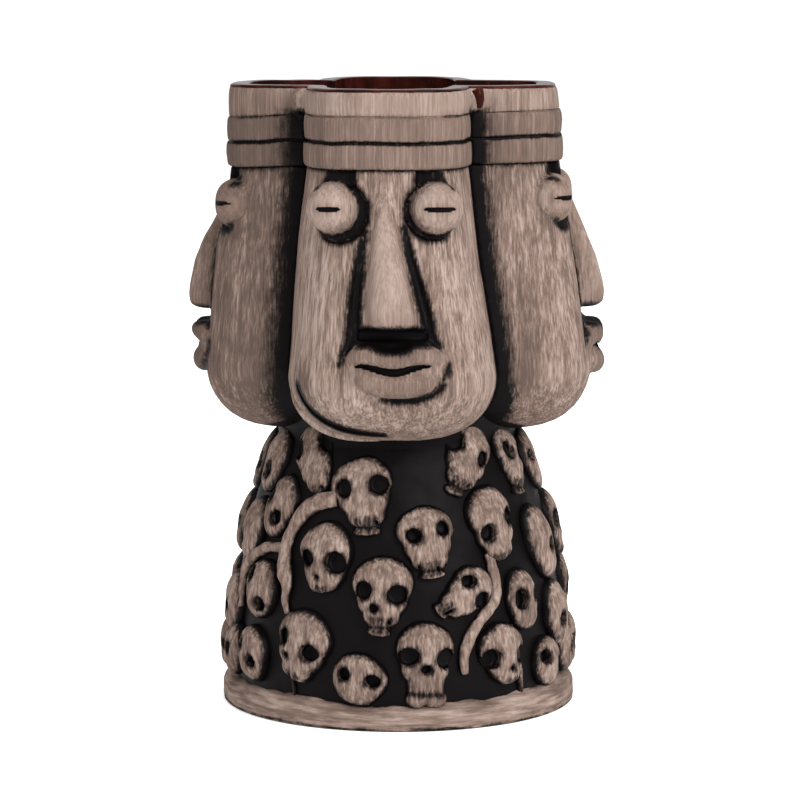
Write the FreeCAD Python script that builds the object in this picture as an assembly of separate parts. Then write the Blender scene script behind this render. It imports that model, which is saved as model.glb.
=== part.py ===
# Four-headed tiki mug in slip-cast stoneware: four long carved heads stand back to back on a flared
# foot covered in skulls and bones. Millimetres, +Z up, origin at the middle of the foot's underside,
# and the front head looks along -Y. A place on the foot is an azimuth, in degrees from the front
# towards +X, and a height.
import FreeCAD, Part
import math
import os
from FreeCAD import Matrix, Vector

# Overall sizes
rim_height = 160.0
neck_height = 70.0
neck_radius = 31.0
foot_radius = 43.0
wall = 4.0
floor_thickness = 5.0
foot_hollow = 1.5
glaze_thickness = 0.5

# One head, measured from the mug's axis and from the top of the neck
chin_rise = 2.0
jaw_rise = 18.0
jaw_half_width = 26.5
jaw_reach = 50.0
brow_half_width = 20.3
brow_reach = 43.8
chin_half_width = 9.0
chin_tuck = 1.0
collar_width = 2.0
squareness = 3.8

# Headband, which fills the height from the brow to the rim
headband_height = 19.5
band_count = 3
band_proud = 1.2
band_groove = 0.5
band_edge = 0.9

# Face: the eyes and the top of the nose hang below the brow, and the mouth stands above the jaw
eye_drop = 9.5
eye_radius = 6.6
eye_spacing = 25.6
eye_proud = 2.6
eye_slit = 7.0
slit_gap = 0.9
socket_radius = 8.4
socket_shift = 1.2
socket_depth = 2.4
mouth_rise = 4.8
mouth_width = 18.0
mouth_gap = 1.3
lips_width = 26.6
lips_height = 13.8
lips_proud = 3.9
lips_curve_radius = 31.0
nose_drop = 13.5
nose_above_lips = 2.2
nose_tip_rise = 4.5
nose_top_width = 7.5
nose_base_width = 16.5
nose_proud = 7.0
nose_edge = 1.4

# Foot
foot_ring_height = 8.0
foot_ring_proud = 3.0
skull_relief = 3.2
skull_dome_radius = 21.0
eye_hole = 0.13
nose_hole = 0.06
tooth_gap = 0.7
bone_radius = 1.7

# Heights that follow
brow_height = rim_height - headband_height
chin_height = neck_height + chin_rise
jaw_height = neck_height + jaw_rise
eye_height = brow_height - eye_drop
mouth_height = jaw_height + mouth_rise
lips_top = mouth_height + 0.5 * lips_height
lips_bottom = mouth_height - 0.5 * lips_height
nose_top_height = brow_height - nose_drop
nose_base_height = lips_top + nose_above_lips
nose_tip_height = nose_base_height + nose_tip_rise

# Half outlines of a skull, as shares of its width and height, from the crown down to the chin
skull_shapes = {
    "jawed": [(0, 0.5), (0.36, 0.4), (0.5, 0.13), (0.4, -0.14), (0.22, -0.27), (0.21, -0.44), (0, -0.5)],
    "toothed": [(0, 0.5), (0.37, 0.39), (0.5, 0.06), (0.37, -0.26), (0.21, -0.4), (0, -0.5)],
    "plain": [(0, 0.5), (0.38, 0.38), (0.5, 0), (0.38, -0.36), (0, -0.5)],
}

# Each skull: shape, azimuth, percent of the way up from ring to neck, width, height, lean to the right
skull_tiers = {
    "neck_skulls": [
        ("plain", -72, 90, 14, 16, 0), ("toothed", -40, 92, 13, 15, -30), ("jawed", 31, 90, 16, 19, 23),
        ("jawed", 61, 85, 13.5, 18, -6), ("plain", 88, 89, 13, 15, 8), ("toothed", 117, 87, 15, 17, -12),
        ("jawed", 148, 89, 15, 18, 14), ("toothed", 179, 90, 16, 17, -5), ("plain", 209, 89, 14, 16, 10),
        ("jawed", 238, 87, 15, 18, -16), ("toothed", 264, 87, 13, 16, 12),
    ],
    "upper_skulls": [
        ("toothed", -52, 69, 14.5, 16, -12), ("jawed", -11, 79, 15.5, 19.5, -6),
        ("toothed", 13, 60, 15, 17, -9),
        ("jawed", 42, 64, 14.5, 19, -10), ("plain", 69, 60, 14.5, 17, -10), ("toothed", 97, 61, 15, 17, 12),
        ("jawed", 126, 60, 15, 18, -14), ("plain", 154, 61, 14.5, 16, 10), ("toothed", 181, 61, 15, 17, 5),
        ("jawed", 209, 60, 15, 18, 16), ("toothed", 236, 60, 14.5, 17, -8), ("plain", 262, 61, 14.5, 16, 12),
        ("plain", -72, 61, 13, 16, 4),
    ],
    "middle_skulls": [
        ("plain", -53, 40, 14.5, 14.5, -20), ("toothed", -26, 55, 15, 18, 5),
        ("toothed", -4, 40, 15.5, 18, 7),
        ("jawed", 26, 41, 12.5, 14.5, 45), ("plain", 50, 37, 12.5, 15, 14), ("plain", 79, 37, 13, 14.5, 0),
        ("toothed", 104, 35, 14.5, 16, -16), ("plain", 130, 33, 13.5, 14.5, 8),
        ("toothed", 156, 35, 14.5, 16, -6),
        ("jawed", 182, 33, 14, 17, 10), ("plain", 207, 32, 13.5, 14.5, -12),
        ("toothed", 232, 33, 14.5, 16, 18),
        ("plain", 257, 35, 13.5, 15, -10), ("plain", -79, 35, 12.5, 14.5, 8),
    ],
    "lower_skulls": [
        ("plain", -67, 13, 11.5, 13, 6), ("plain", -51, 13, 11.5, 13.5, -16),
        ("toothed", -30.5, 20, 15.5, 18, 14),
        ("plain", -11, 10, 14, 13, -16), ("jawed", 11, 16, 14.5, 21, 2), ("toothed", 38, 15, 14.5, 16, -10),
        ("plain", 57, 10, 11.5, 12.5, -4), ("plain", 70, 17, 11, 15, 6), ("toothed", 89, 11, 13.5, 14, -8),
        ("plain", 108.5, 10, 13, 13, 12), ("toothed", 128, 10, 13.5, 13.5, -10),
        ("plain", 147, 10, 13, 13, 6),
        ("toothed", 166, 10, 14, 14, 10), ("plain", 186, 9, 13, 12.5, -14), ("toothed", 205, 9, 13.5, 13, 4),
        ("plain", 224, 10, 13, 13, -8), ("toothed", 243, 10, 13.5, 13.5, 12), ("plain", 262, 10, 13, 14, -6),
        ("plain", 278, 10, 11, 13, 8),
    ],
}

# Each bone: azimuth and percent of the way up of the points it bends round
bones = {
    "left_arm_bone": [(-20, 74), (-31, 76), (-38, 68), (-40, 55), (-43, 45), (-42, 37)],
    "left_hand_bone": [(-44, 53), (-55, 56), (-64, 50), (-67, 40), (-65, 29)],
    "right_rib_bone": [(36, 48), (39, 40), (38, 32), (31, 26), (26, 18), (25, 8)],
    "back_arm_bone": [(140, 71), (141, 58), (143, 47), (143, 35), (139, 23)],
    "back_rib_bone": [(222, 74), (223, 61), (220, 48), (219, 37), (216, 24)],
}


def flare_radius():
    """Radius of the arc, upright at the ring, that leads the foot's wall in to the neck."""
    rise, draw = neck_height - foot_ring_height, foot_radius - neck_radius
    return (rise ** 2 + draw ** 2) / (2.0 * draw)


def wall_radius(height):
    """Outside radius of the foot at a height between its underside and the neck."""
    above = max(height - foot_ring_height, 0.0)
    return foot_radius - flare_radius() + math.sqrt(flare_radius() ** 2 - above ** 2)


def height_on_foot(percent):
    return foot_ring_height + 0.01 * percent * (neck_height - foot_ring_height)


def head_size(height):
    """Half width and reach of a head's outside: rounded under the jaw, tapered from jaw to brow."""
    if height < jaw_height:
        drop = min((jaw_height - height) / (jaw_height - chin_height), 1.0)
        share = math.sqrt(1.0 - drop ** 2)
        low, high = (chin_half_width, neck_radius + chin_tuck), (jaw_half_width, jaw_reach)
    else:
        share = min((height - jaw_height) / (brow_height - jaw_height), 1.0)
        low, high = (jaw_half_width, jaw_reach), (brow_half_width, brow_reach)
    return tuple(a + (b - a) * share for a, b in zip(low, high))


def face_reach(across, height):
    """How far the head's surface stands in front of the axis at that place across the face."""
    half_width, reach = head_size(height)
    return reach * (1.0 - (abs(across) / half_width) ** squareness) ** (1.0 / squareness)


def head_outline(half_width, reach, height):
    """Closed plan of a head from the axis forwards: a squared half oval."""
    steps = 16
    points = []
    for step in range(steps + 1):
        angle = math.pi * step / steps
        across = abs(math.cos(angle)) ** (2.0 / squareness) * math.copysign(half_width, math.cos(angle))
        points.append(Vector(across, -reach * math.sin(angle) ** (2.0 / squareness), height))
    points[0].y = points[-1].y = 0.0
    curve = Part.BSplineCurve()
    curve.interpolate(points)
    return Part.Wire([curve.toShape(), Part.makeLine(points[-1], points[0])])


def head_form(inset, bottom, top):
    """Solid form of a head, drawn in by the inset all over and lifted by it under the jaw."""
    def section(height):
        half_width, reach = head_size(height - inset)
        return head_outline(half_width - inset, reach - inset, height)

    chin_steps = 6
    jaw, brow = jaw_height + inset, brow_height + inset
    bends = [0.5 * math.pi * step / chin_steps for step in range(chin_steps + 1)]
    sections = [section(jaw - (jaw - bottom) * math.cos(bend)) for bend in bends]
    chin = Part.makeLoft(sections, True, False)
    face = Part.makeLoft([section(jaw), section(brow)], True, True)
    crown = Part.Face(section(brow)).extrude(Vector(0, 0, top - brow))
    return chin.fuse([face, crown])


def turned(shape, degrees):
    copy = shape.copy()
    copy.rotate(Vector(0, 0, 0), Vector(0, 0, 1), degrees)
    return copy


def all_round(shape):
    """Four copies of a shape, one for each head, as one solid."""
    return shape.fuse([turned(shape, 90.0 * quarter) for quarter in (1, 2, 3)])


def foot_form(inset, bottom, top):
    """Solid of the flared foot, drawn in by the inset; straight below the ring's top and above the neck."""
    middle = Vector(foot_radius - flare_radius(), 0, foot_ring_height)
    radius = flare_radius() - inset
    turn = math.asin((neck_height - foot_ring_height) / radius)
    low, bend, high = [
        middle + Vector(radius * math.cos(angle), 0, radius * math.sin(angle))
        for angle in (0.0, 0.5 * turn, turn)
    ]
    axis_top, axis_bottom = Vector(0, 0, top), Vector(0, 0, bottom)
    corners = [high, Vector(high.x, 0, top), axis_top, axis_bottom, Vector(low.x, 0, bottom), low]
    if top == neck_height:
        corners.pop(1)
    edges = [Part.Arc(low, bend, high).toShape()]
    edges += [Part.makeLine(a, b) for a, b in zip(corners, corners[1:])]
    return Part.Face(Part.Wire(edges)).revolve(Vector(0, 0, 0), Vector(0, 0, 1), 360)


def along_y(radius, across, height, near, far):
    """Cylinder along the way the front head looks, from near to far in front of the axis."""
    return Part.makeCylinder(radius, far - near, Vector(across, -near, height), Vector(0, -1, 0))


def eye_places():
    return [(side, 0.5 * side * eye_spacing) for side in (-1, 1)]


def eye_floor():
    """How far the floor of an eye's socket stands in front of the axis."""
    return face_reach(0.5 * eye_spacing, eye_height) - socket_depth


def socket_tools(spread):
    """The sunk discs that the eyes sit in, made larger and deeper by the spread."""
    tools = []
    for side, across in eye_places():
        middle = across - side * socket_shift
        depth = eye_floor() - spread
        tools.append(along_y(socket_radius + spread, middle, eye_height, depth, jaw_reach + 10.0))
    return tools


def cavity(inset):
    """The drinking space, with its wall drawn in by the inset and kept whole behind the eyes."""
    lobe = head_form(wall + inset, chin_height + wall + inset + 1.0, rim_height + 5.0)
    lobe = lobe.cut(socket_tools(wall + inset))
    well = foot_form(wall + inset, foot_hollow + floor_thickness + inset, jaw_height + wall + 2.0)
    return all_round(lobe).fuse(well).removeSplitter()


def quarter_wedge():
    """The quarter of the mug's space that belongs to the front head."""
    far = 2.0 * jaw_reach
    corners = [Vector(0, 0, 0), Vector(-far, -far, 0), Vector(far, -far, 0), Vector(0, 0, 0)]
    return Part.Face(Part.makePolygon(corners)).extrude(Vector(0, 0, rim_height + 10.0))


def make_foot_wall(inside):
    solid = foot_form(0.0, 0.0, neck_height)
    hollow = Part.makeCylinder(foot_radius - wall - 1.0, foot_hollow)
    return solid.cut([inside, hollow])


def make_foot_ring():
    inner = foot_radius
    outer = foot_radius + foot_ring_proud
    heel = Vector(inner + 0.5 * foot_ring_proud, 0, 0)
    waist_low = Vector(outer, 0, 0.35 * foot_ring_height)
    waist_high = Vector(outer, 0, 0.6 * foot_ring_height)
    top = Vector(inner, 0, foot_ring_height)
    low_bend = Vector(outer - 0.15 * foot_ring_proud, 0, 0.1 * foot_ring_height)
    high_bend = Vector(outer - 0.25 * foot_ring_proud, 0, 0.87 * foot_ring_height)
    edges = [
        Part.makeLine(Vector(inner, 0, 0), heel),
        Part.Arc(heel, low_bend, waist_low).toShape(),
        Part.makeLine(waist_low, waist_high),
        Part.Arc(waist_high, high_bend, top).toShape(),
        Part.makeLine(top, Vector(inner, 0, 0)),
    ]
    return Part.Face(Part.Wire(edges)).revolve(Vector(0, 0, 0), Vector(0, 0, 1), 360)


def make_head(outside, inside, wedge):
    neck = Vector(0, 0, neck_height)
    collar = Part.makeCylinder(neck_radius + collar_width, jaw_height - neck_height, neck)
    return outside.fuse(collar).common(wedge).cut([inside] + socket_tools(0.0))


def make_eye(across):
    """A domed disc with a slit across its middle."""
    front = eye_floor() + socket_depth + eye_proud
    dome_radius = 1.6 * eye_radius
    disc = along_y(eye_radius, across, eye_height, eye_floor(), front)
    dome = Part.makeSphere(dome_radius, Vector(across, dome_radius - front, eye_height))
    slit = Part.makeBox(eye_slit, 2.0 * slit_gap, slit_gap)
    slit.translate(Vector(across - 0.5 * eye_slit, -front - slit_gap, eye_height - 0.5 * slit_gap))
    return disc.common(dome).cut(slit)


def make_nose(outside):
    """A wedge that widens and stands out further towards its base."""
    top_reach = head_size(nose_top_height)[1]
    root = -(top_reach - wall)
    profile = [
        Vector(0, root, nose_top_height + 4.0),
        Vector(0, -top_reach - 0.6, nose_top_height),
        Vector(0, -head_size(nose_tip_height)[1] - nose_proud, nose_tip_height),
        Vector(0, -head_size(nose_base_height)[1] - 0.35 * nose_proud, nose_base_height),
        Vector(0, root, nose_base_height - 0.5),
    ]
    side_view = Part.Face(Part.makePolygon(profile + profile[:1]))
    side_view.translate(Vector(-nose_base_width, 0, 0))
    slab = side_view.extrude(Vector(2.0 * nose_base_width, 0, 0))
    half_top, half_base = 0.5 * nose_top_width, 0.5 * nose_base_width
    front = [
        Vector(-half_top, 0, nose_top_height + 5.0),
        Vector(half_top, 0, nose_top_height + 5.0),
        Vector(half_base, 0, nose_tip_height - 1.0),
        Vector(half_base, 0, nose_base_height - 5.0),
        Vector(-half_base, 0, nose_base_height - 5.0),
        Vector(-half_base, 0, nose_tip_height - 1.0),
    ]
    outline = Part.Face(Part.makePolygon(front + front[:1])).extrude(Vector(0, -2.0 * jaw_reach, 0))
    block = slab.common(outline)
    ahead = [e for e in block.Edges if e.CenterOfMass.y < -top_reach - 0.3]
    return block.makeFillet(nose_edge, ahead).cut(outside)


def make_lips(outside):
    """Two rolls, one above the other, that meet round a narrow mouth."""
    face = head_size(mouth_height)[1]
    front = face + lips_proud
    root = face - 0.5 * wall
    seam = Vector(0, -front + 1.4, mouth_height)
    high, low = Vector(0, -face - 0.5, lips_top), Vector(0, -face - 0.5, lips_bottom)
    edges = [
        Part.Arc(high, Vector(0, -front, 0.5 * (mouth_height + lips_top)), seam).toShape(),
        Part.Arc(seam, Vector(0, -front, 0.5 * (mouth_height + lips_bottom)), low).toShape(),
        Part.makeLine(low, Vector(0, -root, lips_bottom)),
        Part.makeLine(Vector(0, -root, lips_bottom), Vector(0, -root, lips_top)),
        Part.makeLine(Vector(0, -root, lips_top), high),
    ]
    rolls = Part.Face(Part.Wire(edges))
    rolls.translate(Vector(-lips_width, 0, 0))
    rolls = rolls.extrude(Vector(2.0 * lips_width, 0, 0))
    oval = Part.Ellipse(Vector(0, 0, 0), 0.5 * lips_width, 0.5 * lips_height).toShape()
    disc = Part.Face(Part.Wire(oval)).extrude(Vector(0, 0, 2.0 * jaw_reach))
    disc.rotate(Vector(0, 0, 0), Vector(1, 0, 0), 90)
    disc.translate(Vector(0, 0, mouth_height))
    bend_middle = Vector(0, lips_curve_radius - front, lips_bottom - 5.0)
    bend = Part.makeCylinder(lips_curve_radius, lips_height + 10.0, bend_middle)
    mouth = Part.makeBox(mouth_width, 4.0, mouth_gap)
    mouth.translate(Vector(-0.5 * mouth_width, -front - 1.0, mouth_height - 0.5 * mouth_gap))
    return rolls.common(disc).common(bend).cut(mouth).cut(outside)


def make_band(index, outside, inside, wedge):
    """One strap of the headband; straps are counted upwards from the brow."""
    pitch = headband_height / band_count
    bottom = brow_height + index * pitch
    height = pitch - band_groove if index < band_count - 1 else pitch
    outline = head_outline(brow_half_width + band_proud, brow_reach + band_proud, bottom)
    strap = Part.Face(outline).extrude(Vector(0, 0, height))
    level = [e for e in strap.Edges if e.BoundBox.ZLength < 0.01]
    rims = [e for e in level if len(e.Vertexes) == 2 and e.BoundBox.YLength > 1.0]
    return strap.makeFillet(band_edge, rims).common(wedge).cut(outside).cut(inside)


def make_rim_glaze(inside):
    grow = band_proud - band_edge
    outline = head_outline(brow_half_width + grow, brow_reach + grow, rim_height)
    coat = Part.Face(outline).extrude(Vector(0, 0, glaze_thickness))
    return all_round(coat).cut(inside).removeSplitter()


def make_interior_glaze(inside):
    far = 2.0 * jaw_reach
    above = Part.makeBox(2.0 * far, 2.0 * far, 20.0, Vector(-far, -far, rim_height + glaze_thickness))
    return inside.cut([cavity(glaze_thickness), above])


def on_wall(azimuth, percent, stand_off):
    """Point at a place on the foot, standing off its wall."""
    height = height_on_foot(percent)
    radius = wall_radius(height) + stand_off
    turn = math.radians(azimuth)
    return Vector(radius * math.sin(turn), -radius * math.cos(turn), height)


def skull_outline(shape, width, height):
    """Closed outline in the X-Z plane, about its own middle."""
    half = skull_shapes[shape]
    right = [Vector(x * width, 0, z * height) for x, z in half]
    left = [Vector(-p.x, 0, p.z) for p in reversed(right[1:-1])]
    curve = Part.BSplineCurve()
    curve.interpolate(right + left, PeriodicFlag=True)
    return Part.Face(Part.Wire(curve.toShape()))


def make_skull(shape, azimuth, percent, width, tall, lean):
    """A shallow domed skull with open eyes, made facing -Y and then turned into its place."""
    height = height_on_foot(percent)
    reach = wall_radius(height)
    front = reach + skull_relief
    plate = skull_outline(shape, width, tall)
    plate.translate(Vector(0, -reach + 8.0, 0))
    solid = plate.extrude(Vector(0, -20.0, 0))
    solid = solid.common(Part.makeSphere(skull_dome_radius, Vector(0, skull_dome_radius - front, 0)))
    holes = []
    for side in (-1, 1):
        holes.append(along_y(eye_hole * width, 0.23 * side * width, 0.04 * tall, reach - 8.0, front + 5.0))
    if shape != "plain":
        holes.append(along_y(nose_hole * width, 0, -0.12 * tall, reach - 8.0, front + 5.0))
        for step in (-1, 0, 1):
            slot = Part.makeBox(tooth_gap, 20.0, 0.16 * tall)
            slot.translate(Vector(0.11 * step * width - 0.5 * tooth_gap, -front - 5.0, -0.42 * tall))
            holes.append(slot)
    solid = solid.cut(Part.makeCompound(holes))
    solid.rotate(Vector(0, 0, 0), Vector(0, 1, 0), lean)
    solid.translate(Vector(0, 0, height))
    return turned(solid, azimuth)


def make_bone(points):
    """A round rod that bends from point to point, half sunk in the wall."""
    places = [on_wall(azimuth, percent, 0.5 * bone_radius) for azimuth, percent in points]
    pieces = [Part.makeSphere(bone_radius, place) for place in places]
    for start, end in zip(places, places[1:]):
        pieces.append(Part.makeCylinder(bone_radius, (end - start).Length, start, end - start))
    return pieces[0].fuse(pieces[1:])


def clear_of(shape, others):
    """What is left of a shape outside the solids that its box meets."""
    near = [other for other in others if shape.BoundBox.intersect(other.BoundBox)]
    return shape.cut(near) if near else shape


def solids_over(shape, least):
    """The shape's solids above a least volume, which drops crumbs that trimming leaves."""
    return [solid for solid in shape.Solids if solid.Volume > least]


def make_relief(ring):
    """Every skull and bone, each trimmed to stand on the wall, below the chins and beside its neighbours."""
    body = foot_form(0.0, 0.0, neck_height)
    collar = Part.makeCylinder(neck_radius + collar_width, chin_rise, Vector(0, 0, neck_height))
    chins = Part.makeCylinder(2.0 * foot_radius, chin_height, Vector(0, 0, chin_height))
    placed = [body, collar, chins, ring]
    relief = {}
    for tier, skulls in skull_tiers.items():
        relief[tier] = []
        for skull in skulls:
            made = solids_over(clear_of(make_skull(*skull), placed), 15.0)
            placed += made
            relief[tier] += made
    for name, points in bones.items():
        relief[name] = solids_over(clear_of(make_bone(points), placed), 8.0)
        placed += relief[name]
    return relief


def make_head_parts(inside):
    """The front head and everything on its face, by the ends of their names."""
    outside = head_form(0.0, chin_height, rim_height)
    wedge = quarter_wedge()
    made = {
        "head": make_head(outside, inside, wedge),
        "head_nose": make_nose(outside),
        "head_lips": make_lips(outside),
    }
    for side, across in eye_places():
        made["head_right_eye" if side < 0 else "head_left_eye"] = make_eye(across)
    for index, name in enumerate(("lower", "middle", "top")):
        made["head_%s_band" % name] = make_band(index, outside, inside, wedge)
    return made


def main():
    parts = {}
    inside = cavity(0.0)
    for name, shape in make_head_parts(inside).items():
        for turn, place in ((0, "front"), (90, "right"), (180, "back"), (270, "left")):
            parts[place + "_" + name] = [turned(shape, turn)]
    parts["foot_wall"] = [make_foot_wall(inside)]
    parts["foot_ring"] = [make_foot_ring()]
    parts["interior_glaze"] = [make_interior_glaze(inside)]
    parts["rim_glaze"] = [make_rim_glaze(inside)]
    parts.update(make_relief(parts["foot_ring"][0]))

    os.makedirs("parts", exist_ok=True)
    for name, shapes in parts.items():
        solids = [solid for shape in shapes for solid in shape.Solids]
        shape = solids[0] if len(solids) == 1 else Part.makeCompound(solids)
        shape.exportStep("parts/" + name + ".step")
        state = "valid" if shape.isValid() else "NOT VALID"
        print(name, len(solids), "solids", round(shape.Volume), "mm3", state)


main()
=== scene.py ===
import math

import bpy
import numpy as np
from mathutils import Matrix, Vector, noise
from mathutils.bvhtree import BVHTree
from mathutils.kdtree import KDTree


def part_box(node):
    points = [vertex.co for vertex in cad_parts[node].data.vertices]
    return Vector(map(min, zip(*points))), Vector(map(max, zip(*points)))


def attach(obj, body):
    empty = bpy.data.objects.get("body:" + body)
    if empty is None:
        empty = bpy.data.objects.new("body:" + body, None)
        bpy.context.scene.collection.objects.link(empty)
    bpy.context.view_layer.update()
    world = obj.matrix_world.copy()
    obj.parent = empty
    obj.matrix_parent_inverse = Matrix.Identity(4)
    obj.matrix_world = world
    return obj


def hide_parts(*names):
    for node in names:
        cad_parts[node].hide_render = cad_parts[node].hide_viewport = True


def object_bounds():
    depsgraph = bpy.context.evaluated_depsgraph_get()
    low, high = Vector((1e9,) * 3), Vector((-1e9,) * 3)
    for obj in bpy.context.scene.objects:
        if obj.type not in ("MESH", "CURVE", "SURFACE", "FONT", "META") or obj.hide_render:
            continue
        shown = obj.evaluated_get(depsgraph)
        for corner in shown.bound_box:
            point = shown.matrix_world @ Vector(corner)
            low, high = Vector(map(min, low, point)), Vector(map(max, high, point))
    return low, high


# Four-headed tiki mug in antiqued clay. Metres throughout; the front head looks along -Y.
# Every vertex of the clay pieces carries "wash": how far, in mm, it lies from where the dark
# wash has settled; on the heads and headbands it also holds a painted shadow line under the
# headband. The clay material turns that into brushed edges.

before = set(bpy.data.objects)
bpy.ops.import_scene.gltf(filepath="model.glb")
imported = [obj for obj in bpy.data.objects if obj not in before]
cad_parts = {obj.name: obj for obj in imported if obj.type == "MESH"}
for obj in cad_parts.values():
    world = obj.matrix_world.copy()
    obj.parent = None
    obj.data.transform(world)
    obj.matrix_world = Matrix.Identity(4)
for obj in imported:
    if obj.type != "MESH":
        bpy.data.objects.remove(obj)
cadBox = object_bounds()
mm = 0.001

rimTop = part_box("front_head_top_band")[1][2]
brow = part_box("front_head_lower_band")[0][2]
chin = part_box("foot_wall")[1][2] + 2 * mm
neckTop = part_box("foot_wall")[1][2]
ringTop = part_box("foot_ring")[1][2]
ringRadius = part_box("foot_ring")[1][0]
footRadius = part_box("foot_wall")[1][0]
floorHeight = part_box("interior_glaze")[0][2]


def deselectAll():
    if bpy.context.object and bpy.context.object.mode != "OBJECT":
        bpy.ops.object.mode_set(mode="OBJECT")
    bpy.ops.object.select_all(action="DESELECT")


def pick(piece, others=()):
    deselectAll()
    for one in (piece, *others):
        one.select_set(True)
    bpy.context.view_layer.objects.active = piece


def settle(piece):
    pick(piece)
    bpy.ops.object.transform_apply(location=True, rotation=True, scale=True)
    return piece


def addBall(place, size, lean=0.0):
    deselectAll()
    bpy.ops.mesh.primitive_uv_sphere_add(segments=40, ring_count=24, radius=0.5, location=place,
                                         rotation=(0, lean, 0))
    bpy.context.object.scale = size
    return settle(bpy.context.object)


def addPeg(place, radius, depth):
    # a round peg along Y, for sockets and holes
    deselectAll()
    bpy.ops.mesh.primitive_cylinder_add(vertices=56, radius=radius, depth=depth, location=place,
                                        rotation=(math.radians(90), 0, 0))
    return settle(bpy.context.object)


def addBlock(place, size, lean=0.0):
    deselectAll()
    bpy.ops.mesh.primitive_cube_add(size=1.0, location=place, rotation=(0, lean, 0))
    bpy.context.object.scale = size
    return settle(bpy.context.object)


def addTube(points, radii, sides=6):
    # a smooth rope of clay, or a gouge, through the points
    curve = bpy.data.curves.new("tube", "CURVE")
    curve.dimensions = "3D"
    curve.bevel_depth = 1.0
    curve.bevel_resolution = sides
    curve.use_fill_caps = True
    spline = curve.splines.new("NURBS")
    spline.points.add(len(points) - 1)
    for point, place, radius in zip(spline.points, points, radii):
        point.co = (*place, 1.0)
        point.radius = radius
    spline.order_u = 3
    spline.use_endpoint_u = True
    piece = bpy.data.objects.new("tube", curve)
    bpy.context.scene.collection.objects.link(piece)
    pick(piece)
    bpy.ops.object.convert(target="MESH")
    return closeUp(bpy.context.object, merge=0.01 * mm)


def closeUp(piece, merge=None):
    # merges what meets, if asked, and turns the faces outwards
    pick(piece)
    bpy.ops.object.mode_set(mode="EDIT")
    bpy.ops.mesh.select_all(action="SELECT")
    if merge:
        bpy.ops.mesh.remove_doubles(threshold=merge)
    bpy.ops.mesh.normals_make_consistent(inside=False)
    bpy.ops.object.mode_set(mode="OBJECT")
    return piece


def ownCopy(piece):
    copy = piece.copy()
    copy.data = piece.data.copy()
    bpy.context.scene.collection.objects.link(copy)
    return copy


def joined(pieces):
    pick(pieces[0], pieces[1:])
    if len(pieces) > 1:
        bpy.ops.object.join()
    return bpy.context.object


def applyModifier(piece, kind, **settings):
    pick(piece)
    modifier = piece.modifiers.new(kind.lower(), kind)
    for key, value in settings.items():
        setattr(modifier, key, value)
    bpy.ops.object.modifier_apply(modifier=modifier.name)
    return piece


def remesh(piece, size):
    return applyModifier(piece, "REMESH", mode="VOXEL", voxel_size=size, use_smooth_shade=True)


def soften(piece, times, amount=0.5):
    return applyModifier(piece, "SMOOTH", factor=amount, iterations=times)


def combine(piece, tool, operation, keepTool=False):
    applyModifier(piece, "BOOLEAN", object=tool, operation=operation, solver="MANIFOLD")
    if not keepTool:
        bpy.data.objects.remove(tool)
    return piece


def cutAway(piece, tool, keepTool=False):
    return combine(piece, tool, "DIFFERENCE", keepTool)


def addOn(piece, tool):
    return combine(piece, tool, "UNION")


def slicePiece(piece, place, normal):
    # cuts off what lies on the normal's side of a plane, and closes the cut
    pick(piece)
    bpy.ops.object.mode_set(mode="EDIT")
    bpy.ops.mesh.select_all(action="SELECT")
    bpy.ops.mesh.bisect(plane_co=place, plane_no=normal, use_fill=True, clear_outer=True,
                        clear_inner=False)
    bpy.ops.object.mode_set(mode="OBJECT")
    return piece


def readPoints(piece):
    flat = np.empty(len(piece.data.vertices) * 3)
    piece.data.vertices.foreach_get("co", flat)
    return flat.reshape(-1, 3)


def writePoints(piece, points):
    piece.data.vertices.foreach_set("co", points.ravel())
    piece.data.update()


def writeLayer(piece, name, values):
    layer = piece.data.attributes.get(name) or piece.data.attributes.new(name, "FLOAT", "POINT")
    layer.data.foreach_set("value", np.ascontiguousarray(values, dtype=np.float32))


def writeWash(piece, values):
    writeLayer(piece, "wash", values)


def readWash(piece):
    values = np.empty(len(piece.data.vertices), dtype=np.float32)
    piece.data.attributes["wash"].data.foreach_get("value", values)
    return values


def deepenWash(piece, wash):
    # a vertex that a cut has just made still reads 0
    before = readWash(piece)
    writeWash(piece, np.minimum(np.where(before == 0, 9.0, before), wash))


def distanceTo(points, tool):
    tree = BVHTree.FromObject(tool, bpy.context.evaluated_depsgraph_get())
    return np.array([tree.find_nearest(Vector(point))[3] for point in points]) / mm


def distanceToCut(piece, tool):
    # mm from each vertex to where the tool's cut shows on the piece.
    points = readPoints(piece)
    tree = BVHTree.FromObject(tool, bpy.context.evaluated_depsgraph_get())
    seeds = []
    for vertex in piece.data.vertices:
        _, normal, _, distance = tree.find_nearest(vertex.co)
        if distance < 0.2 * mm and vertex.normal.dot(normal) < -0.35:
            seeds.append(vertex.co)
    shown = KDTree(len(seeds))
    for index, place in enumerate(seeds):
        shown.insert(place, index)
    shown.balance()
    return np.array([shown.find(Vector(point))[2] for point in points]) / mm


def bumps(points, scale, seed):
    # slow unevenness of hand-finished clay, from -1 to 1
    shift = Vector((seed * 7.31, seed * 3.77, seed * 5.13))
    return np.array([noise.noise(Vector(point) * scale + shift) for point in points])


def stayInside(piece):
    # the CAD's box is the real size, so nothing passes it
    low, high = np.array(cadBox[0]), np.array(cadBox[1])
    writePoints(piece, np.clip(readPoints(piece), low + 0.02 * mm, high - 0.02 * mm))


def finishPiece(piece, name, material, nodes):
    stayInside(piece)
    piece.name = name
    piece.data.name = name
    piece.data.materials.clear()
    piece.data.materials.append(material)
    pick(piece)
    bpy.ops.object.shade_smooth_by_angle(angle=math.radians(50))
    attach(piece, "root")
    if nodes:
        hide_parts(*nodes)
    return piece


def linkAll(tree, pairs):
    for (fromNode, fromSocket), (toNode, toSocket) in pairs:
        tree.links.new(fromNode.outputs[fromSocket], toNode.inputs[toSocket])


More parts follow.
